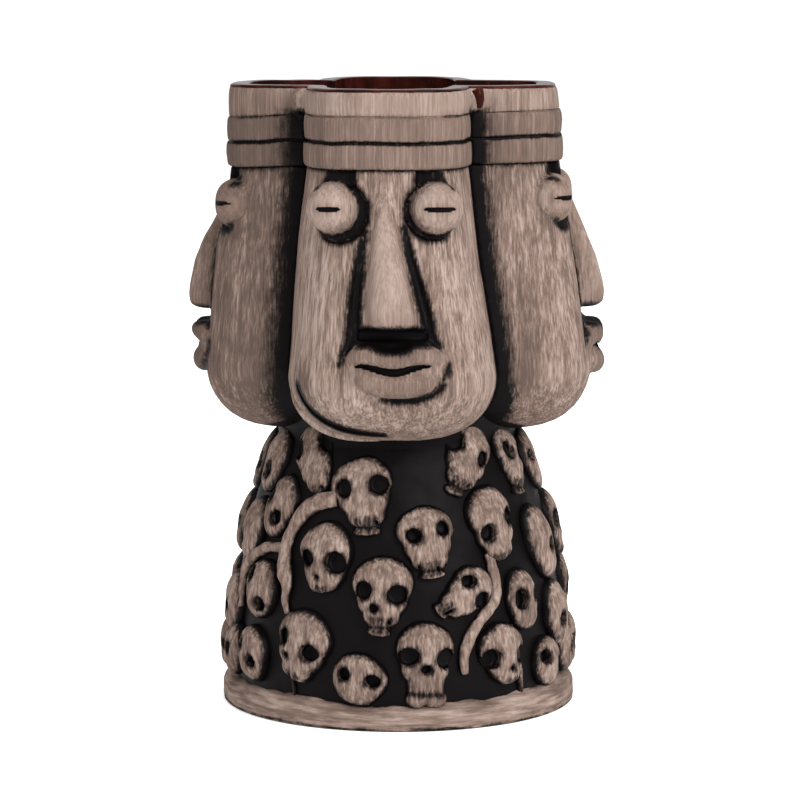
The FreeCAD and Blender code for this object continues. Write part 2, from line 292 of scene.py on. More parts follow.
def addNode(tree, kind, place, **inputs):
    node = tree.nodes.new(kind)
    node.location = place
    for key, value in inputs.items():
        node.inputs[key.replace("_", " ")].default_value = value
    return node


def addMath(tree, operation, first, second, place):
    node = tree.nodes.new("ShaderNodeMath")
    node.operation = operation
    node.location = place
    for index, value in enumerate((first, second)):
        if isinstance(value, (int, float)):
            node.inputs[index].default_value = value
        else:
            tree.links.new(value, node.inputs[index])
    return node.outputs[0]


def addMix(tree, factor, first, second, place, blend="MIX"):
    node = tree.nodes.new("ShaderNodeMix")
    node.data_type = "RGBA"
    node.blend_type = blend
    node.location = place
    for socket, value in ((node.inputs[0], factor), (node.inputs[6], first),
                          (node.inputs[7], second)):
        if isinstance(value, (int, float)):
            socket.default_value = value
        elif isinstance(value, tuple):
            socket.default_value = (*value, 1.0)
        else:
            tree.links.new(value, socket)
    return node.outputs[2]


def addRange(tree, value, low, high, toLow, toHigh, place):
    node = tree.nodes.new("ShaderNodeMapRange")
    node.interpolation_type = "SMOOTHSTEP"
    node.location = place
    tree.links.new(value, node.inputs[0])
    for index, number in enumerate((low, high, toLow, toHigh), start=1):
        node.inputs[index].default_value = number
    return node.outputs[0]


def addNoise(tree, coordinates, scales, detail, roughness, place, seed=0.0, lean=(0.0, 0.0, 0.0)):
    mapping = tree.nodes.new("ShaderNodeMapping")
    mapping.location = (place[0] - 200, place[1])
    mapping.inputs["Scale"].default_value = scales
    mapping.inputs["Location"].default_value = (seed, seed * 0.7, seed * 1.3)
    mapping.inputs["Rotation"].default_value = lean
    tree.links.new(coordinates, mapping.inputs["Vector"])
    node = addNode(tree, "ShaderNodeTexNoise", place, Scale=1.0, Detail=detail, Roughness=roughness)
    tree.links.new(mapping.outputs["Vector"], node.inputs["Vector"])
    return node.outputs["Fac"]


clayFinish = {
    "lightClay": (0.300, 0.232, 0.200),
    "midClay": (0.140, 0.098, 0.080),
    "rosyClay": (0.165, 0.098, 0.074),
    "streakWash": (0.048, 0.036, 0.031),
    "darkWash": (0.0024, 0.0016, 0.0018),
    "clayRoughness": 0.9,
    "washRoughness": 0.5,
}


def makeClay(name, streaks, lean=(0.0, 0.0, 0.0), cover=0.0, seed=0.0, ragged=1.0,
             edge=(0.15, 1.25)):
    # Dry-brushed clay over a dark wash. streaks are the noise scales along X, Y and Z, and edge is
    # how far from the wash, in mm, the brush starts and stops catching.
    material = bpy.data.materials.new(name)
    material.use_nodes = True
    tree = material.node_tree
    tree.nodes.clear()
    coordinates = addNode(tree, "ShaderNodeTexCoord", (-1600, 0)).outputs["Object"]
    wash = tree.nodes.new("ShaderNodeAttribute")
    wash.attribute_name = "wash"
    wash.location = (-1400, 500)

    brush = addNoise(tree, coordinates, streaks, 6.0, 0.62, (-1200, 200), seed, lean)
    broad = addNoise(tree, coordinates, tuple(0.26 * scale for scale in streaks), 3.0, 0.55,
                     (-1200, 0), seed + 4.0, lean)
    cloud = addNoise(tree, coordinates, (90, 90, 60), 3.0, 0.6, (-1200, -200), seed + 9.0)
    speck = addNoise(tree, coordinates, (1700, 1700, 1700), 2.0, 0.7, (-1200, -400), seed)
    grain = addNoise(tree, coordinates, (640, 640, 520), 4.0, 0.7, (-1200, -600), seed + 2.0)

    # where the wash stays: near the deep places, with an edge broken by the brush
    shift = addMath(tree, "ADD", addMath(tree, "MULTIPLY", brush, 2.4 * ragged, (-950, 350)),
                    addMath(tree, "MULTIPLY", grain, 1.6 * ragged, (-950, 250)), (-800, 300))
    reach = addMath(tree, "ADD", addMath(tree, "SUBTRACT", shift, 2.0 * ragged, (-700, 300)),
                    wash.outputs["Fac"], (-600, 400))
    washed = addRange(tree, reach, edge[0], edge[1], 1.0, 0.0, (-450, 400))

    # the brushed coat: light where it caught, streaked where the wash shows through
    coat = addMath(tree, "ADD", addMath(tree, "MULTIPLY", brush, 0.52, (-950, 50)),
                   addMath(tree, "MULTIPLY", broad, 0.32, (-950, -50)), (-800, 50))
    coat = addMath(tree, "ADD", coat, addMath(tree, "MULTIPLY", cloud, 0.16, (-800, -50)),
                   (-650, 50))
    # raised places were rubbed smoother and lighter
    worn = tree.nodes.new("ShaderNodeAttribute")
    worn.attribute_name = "worn"
    worn.location = (-1400, 300)
    rubbed = addMath(tree, "ABSOLUTE", worn.outputs["Fac"], 0.0, (-1250, 450))
    calm = addRange(tree, rubbed, 0.0, 1.0, 1.0, 0.5, (-1100, 450))
    coat = addMath(tree, "MULTIPLY", addMath(tree, "SUBTRACT", coat, 0.5, (-600, 0)), calm,
                   (-560, 0))
    coat = addMath(tree, "ADD", coat, addMath(tree, "MULTIPLY", worn.outputs["Fac"], 0.034,
                                              (-600, -100)), (-530, 0))
    # the coat darkens a little within 8 mm of the wash, and the whole coat shifts by the cover
    # value, which on the left head holds painted shade
    coatShift = addRange(tree, wash.outputs["Fac"], 0.3, 8.0, 0.5 + cover - 0.06, 0.5 + cover,
                    (-800, 200))
    coat = addMath(tree, "ADD", coat, coatShift, (-500, 100))
    thin = addRange(tree, coat, 0.330, 0.490, 1.0, 0.0, (-350, 150))
    caught = addRange(tree, coat, 0.425, 0.635, 0.0, 1.0, (-350, 0))
    pits = addRange(tree, speck, 0.24, 0.34, 0.5, 0.0, (-350, -100))
    rosy = addRange(tree, grain, 0.46, 0.72, 0.0, 0.6, (-350, -450))

    body = addMix(tree, rosy, clayFinish["midClay"], clayFinish["rosyClay"], (-200, -250))
    body = addMix(tree, caught, body, clayFinish["lightClay"], (-50, -150))
    show = addMath(tree, "MAXIMUM", thin, pits, (-200, 100))
    body = addMix(tree, addMath(tree, "MULTIPLY", show, 0.7, (-50, 100)), body,
                  clayFinish["streakWash"], (100, 0))
    colour = addMix(tree, washed, body, clayFinish["darkWash"], (250, 100))

    roughness = addRange(tree, washed, 0.0, 1.0, clayFinish["clayRoughness"],
                         clayFinish["washRoughness"], (250, -200))
    height = addMath(tree, "ADD", addMath(tree, "MULTIPLY", brush, 0.7, (-50, -400)),
                     addMath(tree, "MULTIPLY", speck, 0.35, (-50, -550)), (100, -450))
    flatten = addMath(tree, "MULTIPLY", height, addRange(tree, washed, 0.0, 1.0, 1.0, 0.12,
                                                         (100, -600)), (250, -500))
    bump = addNode(tree, "ShaderNodeBump", (400, -400), Strength=0.6, Distance=0.00025)
    tree.links.new(flatten, bump.inputs["Height"])

    shader = addNode(tree, "ShaderNodeBsdfPrincipled", (600, 0))
    shader.inputs["IOR"].default_value = 1.18
    shader.inputs["Specular IOR Level"].default_value = 0.3
    output = addNode(tree, "ShaderNodeOutputMaterial", (900, 0))
    tree.links.new(colour, shader.inputs["Base Color"])
    tree.links.new(roughness, shader.inputs["Roughness"])
    tree.links.new(bump.outputs["Normal"], shader.inputs["Normal"])
    tree.links.new(shader.outputs["BSDF"], output.inputs["Surface"])
    return material


glazeFinish = {
    "deepGlaze": (0.012, 0.0028, 0.0022),
    "thinGlaze": (0.070, 0.0125, 0.008),
}


def makeGlaze(name, bend):
    # Glossy red-brown glaze that pools dark and breaks redder where it lies thin.
    material = bpy.data.materials.new(name)
    material.use_nodes = True
    tree = material.node_tree
    shader = tree.nodes["Principled BSDF"]
    coordinates = addNode(tree, "ShaderNodeTexCoord", (-1000, 0)).outputs["Object"]
    pool = addNoise(tree, coordinates, (120, 120, 45), 4.0, 0.55, (-600, 100))
    fleck = addNoise(tree, coordinates, (900, 900, 700), 3.0, 0.6, (-600, -100))
    amount = addMath(tree, "ADD", addRange(tree, pool, 0.4, 0.72, 0.0, 0.75, (-400, 100)),
                     addRange(tree, fleck, 0.55, 0.75, 0.0, 0.25, (-400, -100)), (-250, 0))
    colour = addMix(tree, amount, glazeFinish["deepGlaze"], glazeFinish["thinGlaze"], (-100, 0))
    tree.links.new(colour, shader.inputs["Base Color"])
    tree.links.new(addRange(tree, fleck, 0.3, 0.8, 0.07, 0.20, (-100, -200)),
                   shader.inputs["Roughness"])
    bump = addNode(tree, "ShaderNodeBump", (-100, -400), Strength=0.25, Distance=0.0004)
    tree.links.new(pool, bump.inputs["Height"])
    tree.links.new(bump.outputs["Normal"], shader.inputs["Normal"])
    shader.inputs["IOR"].default_value = bend
    return material


studio = {
    "distance": 0.918,
    "height": 0.197,
    "azimuth": 2.4,
    "aim": (0.0004, 0.0, 0.078),
    "lens": 160.2,
    "tent": 0.60,
    "backdrop": 1.05,
    # place, size and power
    "lights": {
        "keyLight": ((0.75, -1.05, 0.85), 0.8, 27.0),
        "fillLight": ((-0.95, -0.85, 0.50), 0.8, 3.5),
        "topLight": ((0.1, 0.2, 1.4), 1.0, 13.0),
    },
}


def makeStudio():
    turn = math.radians(studio["azimuth"])
    place = Vector((studio["distance"] * math.sin(turn), -studio["distance"] * math.cos(turn),
                    studio["height"]))
    data = bpy.data.cameras.new("camera")
    data.lens = studio["lens"]
    data.sensor_width = 36.0
    camera = bpy.data.objects.new("camera", data)
    camera.location = place
    camera.rotation_euler = (Vector(studio["aim"]) - place).to_track_quat("-Z", "Y").to_euler()
    bpy.context.scene.collection.objects.link(camera)
    bpy.context.scene.camera = camera

    deselectAll()
    bpy.ops.mesh.primitive_plane_add(size=6.0, location=(0, 0, 0))
    floor = bpy.context.object
    floor.name = "floor"
    paper = bpy.data.materials.new("palePaper")
    paper.use_nodes = True
    shader = paper.node_tree.nodes["Principled BSDF"]
    shader.inputs["Base Color"].default_value = (0.88, 0.88, 0.88, 1.0)
    shader.inputs["Roughness"].default_value = 0.9
    shader.inputs["Emission Color"].default_value = (1.0, 1.0, 1.0, 1.0)
    shader.inputs["Emission Strength"].default_value = 0.5
    floor.data.materials.append(paper)

    world = bpy.data.worlds.new("studio")
    bpy.context.scene.world = world
    world.use_nodes = True
    tree = world.node_tree
    backdrop = addNode(tree, "ShaderNodeBackground", (0, 100), Color=(1.0, 1.0, 1.0, 1.0),
                       Strength=studio["backdrop"])
    tent = addNode(tree, "ShaderNodeBackground", (0, -100), Color=(1.0, 0.99, 0.98, 1.0),
                   Strength=studio["tent"])
    mix = addNode(tree, "ShaderNodeMixShader", (200, 0))
    path = addNode(tree, "ShaderNodeLightPath", (0, 300))
    linkAll(tree, [
        ((path, "Is Camera Ray"), (mix, 0)),
        ((tent, 0), (mix, 1)),
        ((backdrop, 0), (mix, 2)),
        ((mix, 0), (tree.nodes["World Output"], 0)),
    ])
    bpy.context.scene.view_settings.view_transform = "Standard"

    for name, (place, size, power) in studio["lights"].items():
        data = bpy.data.lights.new(name, "AREA")
        data.size = size
        data.energy = power
        light = bpy.data.objects.new(name, data)
        light.location = place
        light.rotation_euler = (Vector((0, 0, 0.08))
                                - Vector(place)).to_track_quat("-Z", "Y").to_euler()
        bpy.context.scene.collection.objects.link(light)


makeStudio()
print("studio ready")


headShape = {
    "jawHalfWidth": 27.3 * mm,
    "jawReach": 50.0 * mm,
    "browHalfWidth": 20.7 * mm,
    "browReach": 43.6 * mm,
    "chinHalfWidth": 10.0 * mm,
    "chinReach": 32.0 * mm,
    "jawRise": 18.0 * mm,        # of the widest part above the neck
    "squareness": 3.8,
    "wall": 4.4 * mm,
    "voxel": 0.48 * mm,
    "wellRadius": 27 * mm,       # of the round way down into the foot
}
jaw = neckTop + headShape["jawRise"]


def headSize(height):
    # Half width and reach of a head at a height.
    if height < jaw:
        drop = min((jaw - height) / (jaw - chin), 1.0)
        share = math.sqrt(1.0 - drop ** 2)
        low = (headShape["chinHalfWidth"], headShape["chinReach"])
        high = (headShape["jawHalfWidth"], headShape["jawReach"])
    else:
        share = min((height - jaw) / (brow - jaw), 1.0)
        low = (headShape["jawHalfWidth"], headShape["jawReach"])
        high = (headShape["browHalfWidth"], headShape["browReach"])
    return [a + (b - a) * share for a, b in zip(low, high)]


def stackRings(rings, squareness, sides=96):
    # A closed form from rings of (half width, reach, height, middle), each a squared oval.
    deselectAll()
    bpy.ops.mesh.primitive_circle_add(vertices=sides, radius=1.0, fill_type="NGON")
    piece = bpy.context.object
    bpy.ops.object.mode_set(mode="EDIT")
    bpy.ops.mesh.select_all(action="SELECT")
    for _ in rings[1:]:
        bpy.ops.mesh.extrude_region_move(TRANSFORM_OT_translate={"value": (0, 0, 1.0)})
    bpy.ops.object.mode_set(mode="OBJECT")
    points = readPoints(piece)
    level = np.rint(points[:, 2]).astype(int)
    angle = np.arctan2(points[:, 1], points[:, 0])
    power = 2.0 / squareness
    across = np.sign(np.cos(angle)) * np.abs(np.cos(angle)) ** power
    along = np.sign(np.sin(angle)) * np.abs(np.sin(angle)) ** power
    table = np.array(rings)[level]
    writePoints(piece, np.stack([table[:, 3] + across * table[:, 0], along * table[:, 1],
                                 table[:, 2]], axis=1))
    return closeUp(piece)


def spinProfile(profile, steps=240):
    # A turned form from points of (radius, height), closed about the axis.
    mesh = bpy.data.meshes.new("profile")
    mesh.from_pydata([(radius, 0, height) for radius, height in profile],
                     [(i, i + 1) for i in range(len(profile) - 1)], [])
    piece = bpy.data.objects.new("profile", mesh)
    bpy.context.scene.collection.objects.link(piece)
    pick(piece)
    bpy.ops.object.mode_set(mode="EDIT")
    bpy.ops.mesh.select_all(action="SELECT")
    bpy.ops.mesh.spin(steps=steps, angle=math.tau, center=(0, 0, 0), axis=(0, 0, 1))
    bpy.ops.object.mode_set(mode="OBJECT")
    return closeUp(piece, merge=0.005 * mm)


def headRings(inset, bottom, top, steps=14):
    rings = []
    for step in range(9):
        height = jaw - (jaw - bottom) * math.cos(0.5 * math.pi * step / 9)
        rings.append((*[size - inset for size in headSize(height)], height, 0.0))
    for step in range(steps + 1):
        height = jaw + (min(top, brow) - jaw) * step / steps
        rings.append((*[size - inset for size in headSize(height)], height, 0.0))
    if top > brow:
        rings.append((*[size - inset for size in headSize(brow)], top, 0.0))
    return rings


def hollowTool(inset):
    # The space inside the heads, as two crossed lobes.
    lobes = []
    for turn in (0, 90):
        rings = [(w, r, h + inset, m) for w, r, h, m in headRings(inset, chin + inset,
                                                                  rimTop + 4 * mm)]
        lobe = stackRings(rings, headShape["squareness"])
        lobe.rotation_euler = (0, 0, math.radians(turn))
        lobes.append(settle(lobe))
    return lobes


def frontWedge(piece):
    # keeps the quarter that belongs to the front head
    block = addBlock((0, 0, 0), (0.2, 0.2, 0.5))
    block.rotation_euler = (0, 0, math.radians(45))
    block.location = (0, -0.1 * math.sqrt(2.0), 0.1)
    return combine(piece, settle(block), "INTERSECT")


# places on the face are in mm: across from its middle, and height
faceShape = {
    "eyeAcross": 12.8,
    "eyeDrop": 9.5,              # of the eyes' middle below the brow
    "eyeRadius": 6.6,
    "eyeReach": 46.9,
    # each socket: side, shift towards the nose, radius, drop, and how far the hollow above it
    # runs outwards and inwards
    "sockets": [(-1, 1.6, 7.45, 0.9, 6.6, 5.6), (1, 0.6, 7.1, 0.6, 6.6, 4.8)],
    "socketReach": 42.5,
    # drop below the brow, half width, reach, shift
    "noseRings": [(39.2, 7.9, 48.0, 1.2), (38.7, 8.6, 52.2, 1.2), (37.6, 8.9, 53.8, 1.15),
                  (35.0, 8.7, 54.1, 1.1), (32.0, 8.1, 53.7, 1.0), (25.5, 6.9, 52.3, 0.8),
                  (19.0, 5.8, 50.0, 0.6), (13.5, 5.1, 47.8, 0.4), (9.0, 4.9, 46.0, 0.3),
                  (4.0, 5.4, 44.0, 0.2)],
    "noseSquareness": 3.4,
    "mouthShift": 1.4,
    # points of each lip: across, reach, height, radius
    "upperLip": [(-13.4, 46.2, 92.2, 1.0), (-10.4, 48.7, 94.4, 2.3), (-6.6, 50.2, 95.7, 3.0),
                 (-3.0, 50.7, 95.5, 2.9), (0.0, 50.8, 94.3, 2.6), (3.2, 50.7, 95.6, 2.9),
                 (6.9, 50.2, 95.8, 3.0), (10.6, 48.7, 94.6, 2.4), (13.4, 46.2, 92.6, 1.1)],
    "lowerLip": [(-13.0, 46.0, 91.0, 1.0), (-9.2, 48.6, 89.4, 2.5), (-4.5, 50.2, 88.3, 3.1),
                 (0.0, 50.6, 87.9, 3.2), (5.0, 50.2, 88.1, 3.2), (9.6, 48.7, 89.3, 2.7),
                 (13.2, 46.0, 91.4, 1.3)],
    # across, height and radius of the line between the lips
    "mouth": [(-8.0, 92.6, 0.3), (-6.6, 93.1, 0.7), (-4.4, 92.7, 0.8), (-1.8, 91.9, 0.9),
              (1.0, 91.3, 1.0), (3.6, 91.7, 0.95), (6.0, 92.5, 0.8), (8.6, 93.0, 0.7),
              (10.4, 92.9, 0.3)],
    "slitShares": (0.0, 0.1, 0.25, 0.4, 0.55, 0.7, 0.85, 0.93, 1.0),
    # gouges as (lift, points): two beside the nose that run down into the hollow above the lip,
    # and one below the lower lip, from left of the middle up round the right corner
    "gouges": [
        (0.1, [(-4.6, 126.0, 0.5), (-5.6, 121.5, 0.75), (-6.5, 115.0, 1.05), (-7.6, 108.3, 1.3),
               (-8.4, 101.7, 1.4), (-9.2, 98.4, 1.1), (-11.2, 95.0, 0.5), (-12.4, 92.6, 0.25)]),
        (0.1, [(4.9, 127.0, 0.45), (5.9, 121.5, 0.7), (7.6, 115.0, 0.95), (9.2, 108.3, 1.2),
               (10.4, 101.7, 1.2), (10.8, 99.0, 1.0), (13.0, 97.2, 0.35)]),
        (0.15, [(-6.8, 86.6, 0.25), (-3.6, 85.2, 0.55), (0.6, 84.5, 0.75), (5.2, 84.3, 0.85),
                (9.6, 85.3, 0.85), (13.0, 87.8, 0.75), (14.7, 90.8, 0.5), (14.9, 93.2, 0.2)]),
    ],
    # the roll of clay behind the lips, and the hollow under the nose, as places and sizes
    "roll": ((1.4, -47.6, 91.9), (25.5, 9.0, 10.0)),
    "hollowBlock": ((1.2, -50.8, 100.2), (17.5, 9.2, 2.9)),
    "hollowBalls": [((1.3, -53.0, 99.0), (11.0, 10.0, 4.9)),
                    ((-5.4, -50.8, 100.0), (9.0, 7.0, 3.8)),
                    ((8.0, -50.8, 100.0), (9.0, 7.0, 3.6))],
}


def inMm(numbers):
    return tuple(number * mm for number in numbers)


class FaceMap:
    # Finds places on the front of the head's form.

    def __init__(self, piece):
        self.tree = BVHTree.FromObject(piece, bpy.context.evaluated_depsgraph_get())

    def tube(self, points, lift=0.0, sides=6):
        # a tube along places given as across, height and radius
        places = []
        for across, height, _ in points:
            start = Vector((across * mm, -0.09, height * mm))
            hit, normal, _, _ = self.tree.ray_cast(start, Vector((0, 1, 0)))
            places.append(hit + normal * lift * mm)
        return addTube(places, [radius * mm for _, _, radius in points], sides)


def lipTube(points, sides=6):
    shift = faceShape["mouthShift"]
    places = [Vector(((across + shift) * mm, -reach * mm, height * mm)) for across, reach, height,
              _ in points]
    return addTube(places, [radius * mm for *_, radius in points], sides)


def makeEyeball(side):
    # a flat-fronted dome, pressed on the temple
    eye = addBall((0, 0, 0), (1, 1, 1))
    points = readPoints(eye) * 2.0
    radius = np.hypot(points[:, 0], points[:, 2])
    points[:, 1] = np.sign(points[:, 1]) * (1.0 - np.clip(radius, 0, 1) ** 2.6) ** (1 / 2.2) * 6.0
    points[:, [0, 2]] *= faceShape["eyeRadius"]
    points += np.array([side * faceShape["eyeAcross"], -faceShape["eyeReach"] + 6.0,
                        brow / mm - faceShape["eyeDrop"]])
    writePoints(eye, points * mm)
    return eye


def makeHeadForm():
    # The front head before it is hollowed, cut with the gouges that the wash settles in; it comes
    # back with an uncut copy of its form, the gouges, and the hollow under the nose.
    base = frontWedge(stackRings(headRings(0.0, chin, brow), headShape["squareness"]))
    face = FaceMap(base)
    eyeHeight = brow / mm - faceShape["eyeDrop"]
    gouges = []
    for side, shift, radius, drop, outer, inner in faceShape["sockets"]:
        across = side * (faceShape["eyeAcross"] - shift)
        deep = -faceShape["socketReach"] - 10.0
        gouges.append(addPeg((across * mm, deep * mm, (eyeHeight - drop) * mm), radius * mm,
                             20 * mm))
        middle = side * (faceShape["eyeAcross"] + 0.5 * (outer - inner))
        gouges.append(addBlock((middle * mm, (deep + 1.7) * mm, brow - 1.5 * mm),
                               ((outer + inner) * mm, 20 * mm, 5.4 * mm)))
    gouges += [face.tube(points, lift) for lift, points in faceShape["gouges"]]
    tool = joined(gouges)
    remesh(tool, 0.35 * mm)
    plain = ownCopy(base)
    cutAway(base, tool, keepTool=True)

    rings = [(width * mm, reach * mm, brow - drop * mm, shift * mm) for drop, width, reach,
             shift in faceShape["noseRings"]]
    nose = slicePiece(stackRings(rings, faceShape["noseSquareness"], sides=64), (0, -30 * mm, 0),
                      (0, 1, 0))
    place, size = faceShape["roll"]
    roll = addBall(inMm(place), inMm(size))
    extras = remesh(joined([makeEyeball(-1), makeEyeball(1), nose, lipTube(faceShape["upperLip"]),
                            lipTube(faceShape["lowerLip"]), roll]), 0.42 * mm)
    soften(extras, 3)
    addOn(base, extras)

    # the hollow under the nose dips into the upper lip
    place, size = faceShape["hollowBlock"]
    hollow = joined([addBlock(inMm(place), inMm(size)),
                     *(addBall(inMm(place), inMm(size))
                       for place, size in faceShape["hollowBalls"])])
    remesh(hollow, 0.35 * mm)
    soften(hollow, 3)
    cutAway(base, hollow, keepTool=True)
    remesh(base, headShape["voxel"])
    soften(base, 3)

    return base, plain, tool, hollow


def cutSlits(piece, eyeSlits):
    # Cuts the closed eyes' slits and the mouth, where the wash stays black.
    face = FaceMap(piece)
    eyeHeight = brow / mm - faceShape["eyeDrop"] + 0.1
    lines = [face.tube(faceShape["mouth"], -0.3, 8)]
    for start, end in eyeSlits:
        points = [(start + share * (end - start), eyeHeight,
                   0.08 + 0.34 * math.sin(share * math.pi) ** 0.5)
                  for share in faceShape["slitShares"]]
        lines.append(face.tube(points, -0.08))
    fine = joined(lines)
    cutAway(piece, fine, keepTool=True)
    near = distanceTo(readPoints(piece), fine)
    deepenWash(piece, np.where(near < 0.03, -2.5, near * 3.0 + 0.6))
    bpy.data.objects.remove(fine)


def valleyDistance(points):
    # mm from the creases where neighbouring heads meet
    return (np.abs(points[:, 1]) - np.abs(points[:, 0])) / math.sqrt(2.0) / mm


def makeHead():
    piece, plain, gouges, hollow = makeHeadForm()
    points = readPoints(piece)
    wash = np.minimum(distanceToCut(piece, gouges) - 0.1, distanceTo(points, hollow) - 0.4)
    lifted = distanceTo(points, plain) * np.where(wash > 0.2, 1.0, 0.0)
    writeLayer(piece, "worn", np.clip((lifted - 0.5) / 1.5, 0, 1)
               * np.where(points[:, 2] < 98 * mm, -0.8, 1.0))
    # a thin dark line under the headband, a painted shadow of its lower edge, and dark round the
    # neck
    wash = np.minimum(wash, (brow - points[:, 2]) / mm * 0.9 + 0.2)
    neck = (np.hypot(points[:, 0], points[:, 1]) / mm - 35.0
            + np.clip((points[:, 2] - chin) / mm - 1.5, 0, 99))
    # darker towards the bottom of the jaw
    darkerTowardsChin = (points[:, 2] - chin) / mm * 0.5 + 1.2
    writeWash(piece, np.minimum(wash, np.minimum(neck, darkerTowardsChin)))
    for tool in (plain, gouges, hollow):
        bpy.data.objects.remove(tool)
    return piece


bandShape = {
    "straps": 3,
    "proud": 1.0 * mm,
    "groove": 0.55 * mm,         # how far the straps' edges draw in
    "rimRounding": 1.3 * mm,
    "grooveWander": (0.30, 0.40),
    "grooveRadius": (0.30, 0.46),
    "strapStep": 0.25,           # mm that each strap sits further in than the one below
    "rimDraw": 0.5 * mm,
    "voxel": 0.45 * mm,
}


def bandOutline(angle, out):
    power = 2.0 / headShape["squareness"]
    across, along = [math.copysign(abs(part) ** power, part)
                     for part in (math.cos(angle), math.sin(angle))]
    return (across * (headShape["browHalfWidth"] + out), along * (headShape["browReach"] + out))


def rimTurn(share):
    # how far the rounded rim draws in, at a share of its rounding
    return bandShape["rimRounding"] * (1 - math.sqrt(1 - share ** 2))


def makeHeadband():
    # The three straps over the front head's brow, with uneven grooves between them.
    halfWidth, reach = headShape["browHalfWidth"], headShape["browReach"]
    pitch = (rimTop - brow) / bandShape["straps"]
    rings = []
    for strap in range(bandShape["straps"]):
        for share, draw in ((0.0, 1.0), (0.04, 0.5), (0.12, 0.1), (0.5, -0.12), (0.88, 0.1),
                            (0.96, 0.5)):
            height = brow + (strap + share) * pitch
            if height > rimTop - bandShape["rimRounding"]:
                continue
            out = (bandShape["proud"] - draw * bandShape["groove"]
                   - bandShape["strapStep"] * mm * strap)
            rings.append((halfWidth + out, reach + out, height, 0.0))
    for share in (0.0, 0.35, 0.7, 1.0):
        out = bandShape["proud"] - bandShape["rimDraw"] - rimTurn(share)
        height = rimTop - bandShape["rimRounding"] * (1 - share)
        rings.append((halfWidth + out, reach + out, height, 0.0))
    band = stackRings(rings, headShape["squareness"], sides=128)
    # clay has filled the tops of the valleys
    corner = 0.5 * (halfWidth + reach) * 0.66
    for side in (-1, 1):
        addOn(band, addBall((side * corner, -corner, rimTop - 3.4 * mm),
                            (6.0 * mm, 6.0 * mm, 6.4 * mm)))
    frontWedge(band)
    remesh(band, bandShape["voxel"])
    soften(band, 2)
    grooves = []
    for line, (wander, size) in enumerate(zip(bandShape["grooveWander"],
                                              bandShape["grooveRadius"])):
        upper = 1 - line
        points, radii = [], []
        for step in range(41):
            angle = math.pi * (1.0 + step / 40.0)
            lift = wander * noise.noise(Vector((step * 0.3, line * 3.0, 1.0)))
            deep = 0.1 if upper and 8 < step < 31 else 0.35
            out = bandShape["proud"] - (bandShape["strapStep"] * (upper + 1) + deep) * mm
            x, y = bandOutline(angle, out)
            points.append(Vector((x, y, brow + (upper + 1) * pitch + lift * mm)))
            radii.append(size * (1.0 + 0.35 * noise.noise(Vector((step * 0.6, line * 7.0, 5.0))))
                         * mm)
        grooves.append(addTube(points, radii, sides=4))
    for groove in grooves:
        cutAway(band, groove, keepTool=True)
    points = readPoints(band)
    upperGroove, middleGroove = distanceTo(points, grooves[0]), distanceTo(points, grooves[1])
    # the upper groove holds the wash only at one end and in a few dashes
    dashes = np.array([noise.noise(Vector((angle * 5.0, 2.0, 9.0)))
                       for angle in np.arctan2(points[:, 0], -points[:, 1])])
    held = np.clip((points[:, 0] / mm - 12.0) / 3.0, 0, 1) + np.clip(dashes * 2.5 - 0.2, 0, 1)
    upperGroove = upperGroove + 1.1 * (1.0 - np.clip(held, 0, 1)) + 0.3
    wash = np.minimum(upperGroove * 2.0 + 0.1, middleGroove * 2.8 + 0.1)
    # dark along the lower strap's bottom edge: painted shadow where it overhangs the face
    wash = np.minimum(wash, (points[:, 2] - brow) / mm * 2.4 + 0.4)
    wash = np.minimum(wash, np.where(points[:, 2] > brow + 2.05 * pitch, 4.5, 2.4))
    writeWash(band, wash)
    # the top strap was rubbed light and the lower ones dark
    writeLayer(band, "worn", np.where(points[:, 2] > brow + 2.05 * pitch, 0.75, -0.8))
    for groove in grooves:
        bpy.data.objects.remove(groove)
    return band


head = makeHead()
print("head modelled:", len(head.data.polygons), "faces")
headband = makeHeadband()
print("headband modelled:", len(headband.data.polygons), "faces")

heads = {
    # valley is how far the wash lies from the crease at each side, and how softly it fades
    # each head's coat is shifted lighter or darker by its cover value; the left head's low value is
    # painted shade for its side turned away from the key light
    "front": {"turn": 0, "slits": ((-16.6, -10.7), (9.9, 17.7)), "cover": 0.010, "seed": 0.0,
              "valley": ((1.5, 1.3), (1.7, 1.2)), "fade": (0.0, 1.45),
              "lift": ((72, 0.0), (160, 0.0)), "push": ((72, 0.0), (160, 0.0))},
    "right": {"turn": 90, "slits": ((-19.25, -14.6), (13.5, 19.2)), "cover": -0.015, "seed": 3.0,
              "valley": ((2.2, 0.55), (1.6, 1.0)), "fade": (0.0, 1.5),
              "lift": ((72, 0.0), (92, 0.8), (106, 1.4), (130, 0.9), (141, 0.4), (150, 0.6),
                       (160, 0.0)),
              "push": ((72, 0.0), (96, 0.2), (108, 0.3), (120, 0.0), (134, -0.4), (150, -0.6),
                       (160, -1.6))},
    "back": {"turn": 180, "slits": ((-17.2, -10.7), (9.6, 17.0)), "cover": 0.004, "seed": 6.0,
             "valley": ((1.6, 1.0), (1.8, 0.9)), "fade": (0.0, 1.45),
             "lift": ((72, 0.0), (160, 0.0)), "push": ((72, 0.0), (160, 0.0))},
    "left": {"turn": 270, "slits": ((-19.0, -13.0), (13.2, 19.2)), "cover": -0.058, "seed": 9.0,
             "valley": ((1.6, 1.0), (2.6, 0.30)), "fade": (0.0, 1.7),
             "lift": ((72, 0.0), (92, 1.6), (106, 0.4), (130, -0.7), (141, -1.2), (153, -1.5),
                      (160, 0.0)),
             "push": ((72, 0.0), (90, -0.8), (106, -0.9), (118, -1.3), (128, -2.4), (136, -2.6),
                      (150, -2.3), (160, -2.6))},
}
headNodes = ("", "_nose", "_lips", "_right_eye", "_left_eye")
bandNodes = ("_lower_band", "_middle_band", "_top_band")


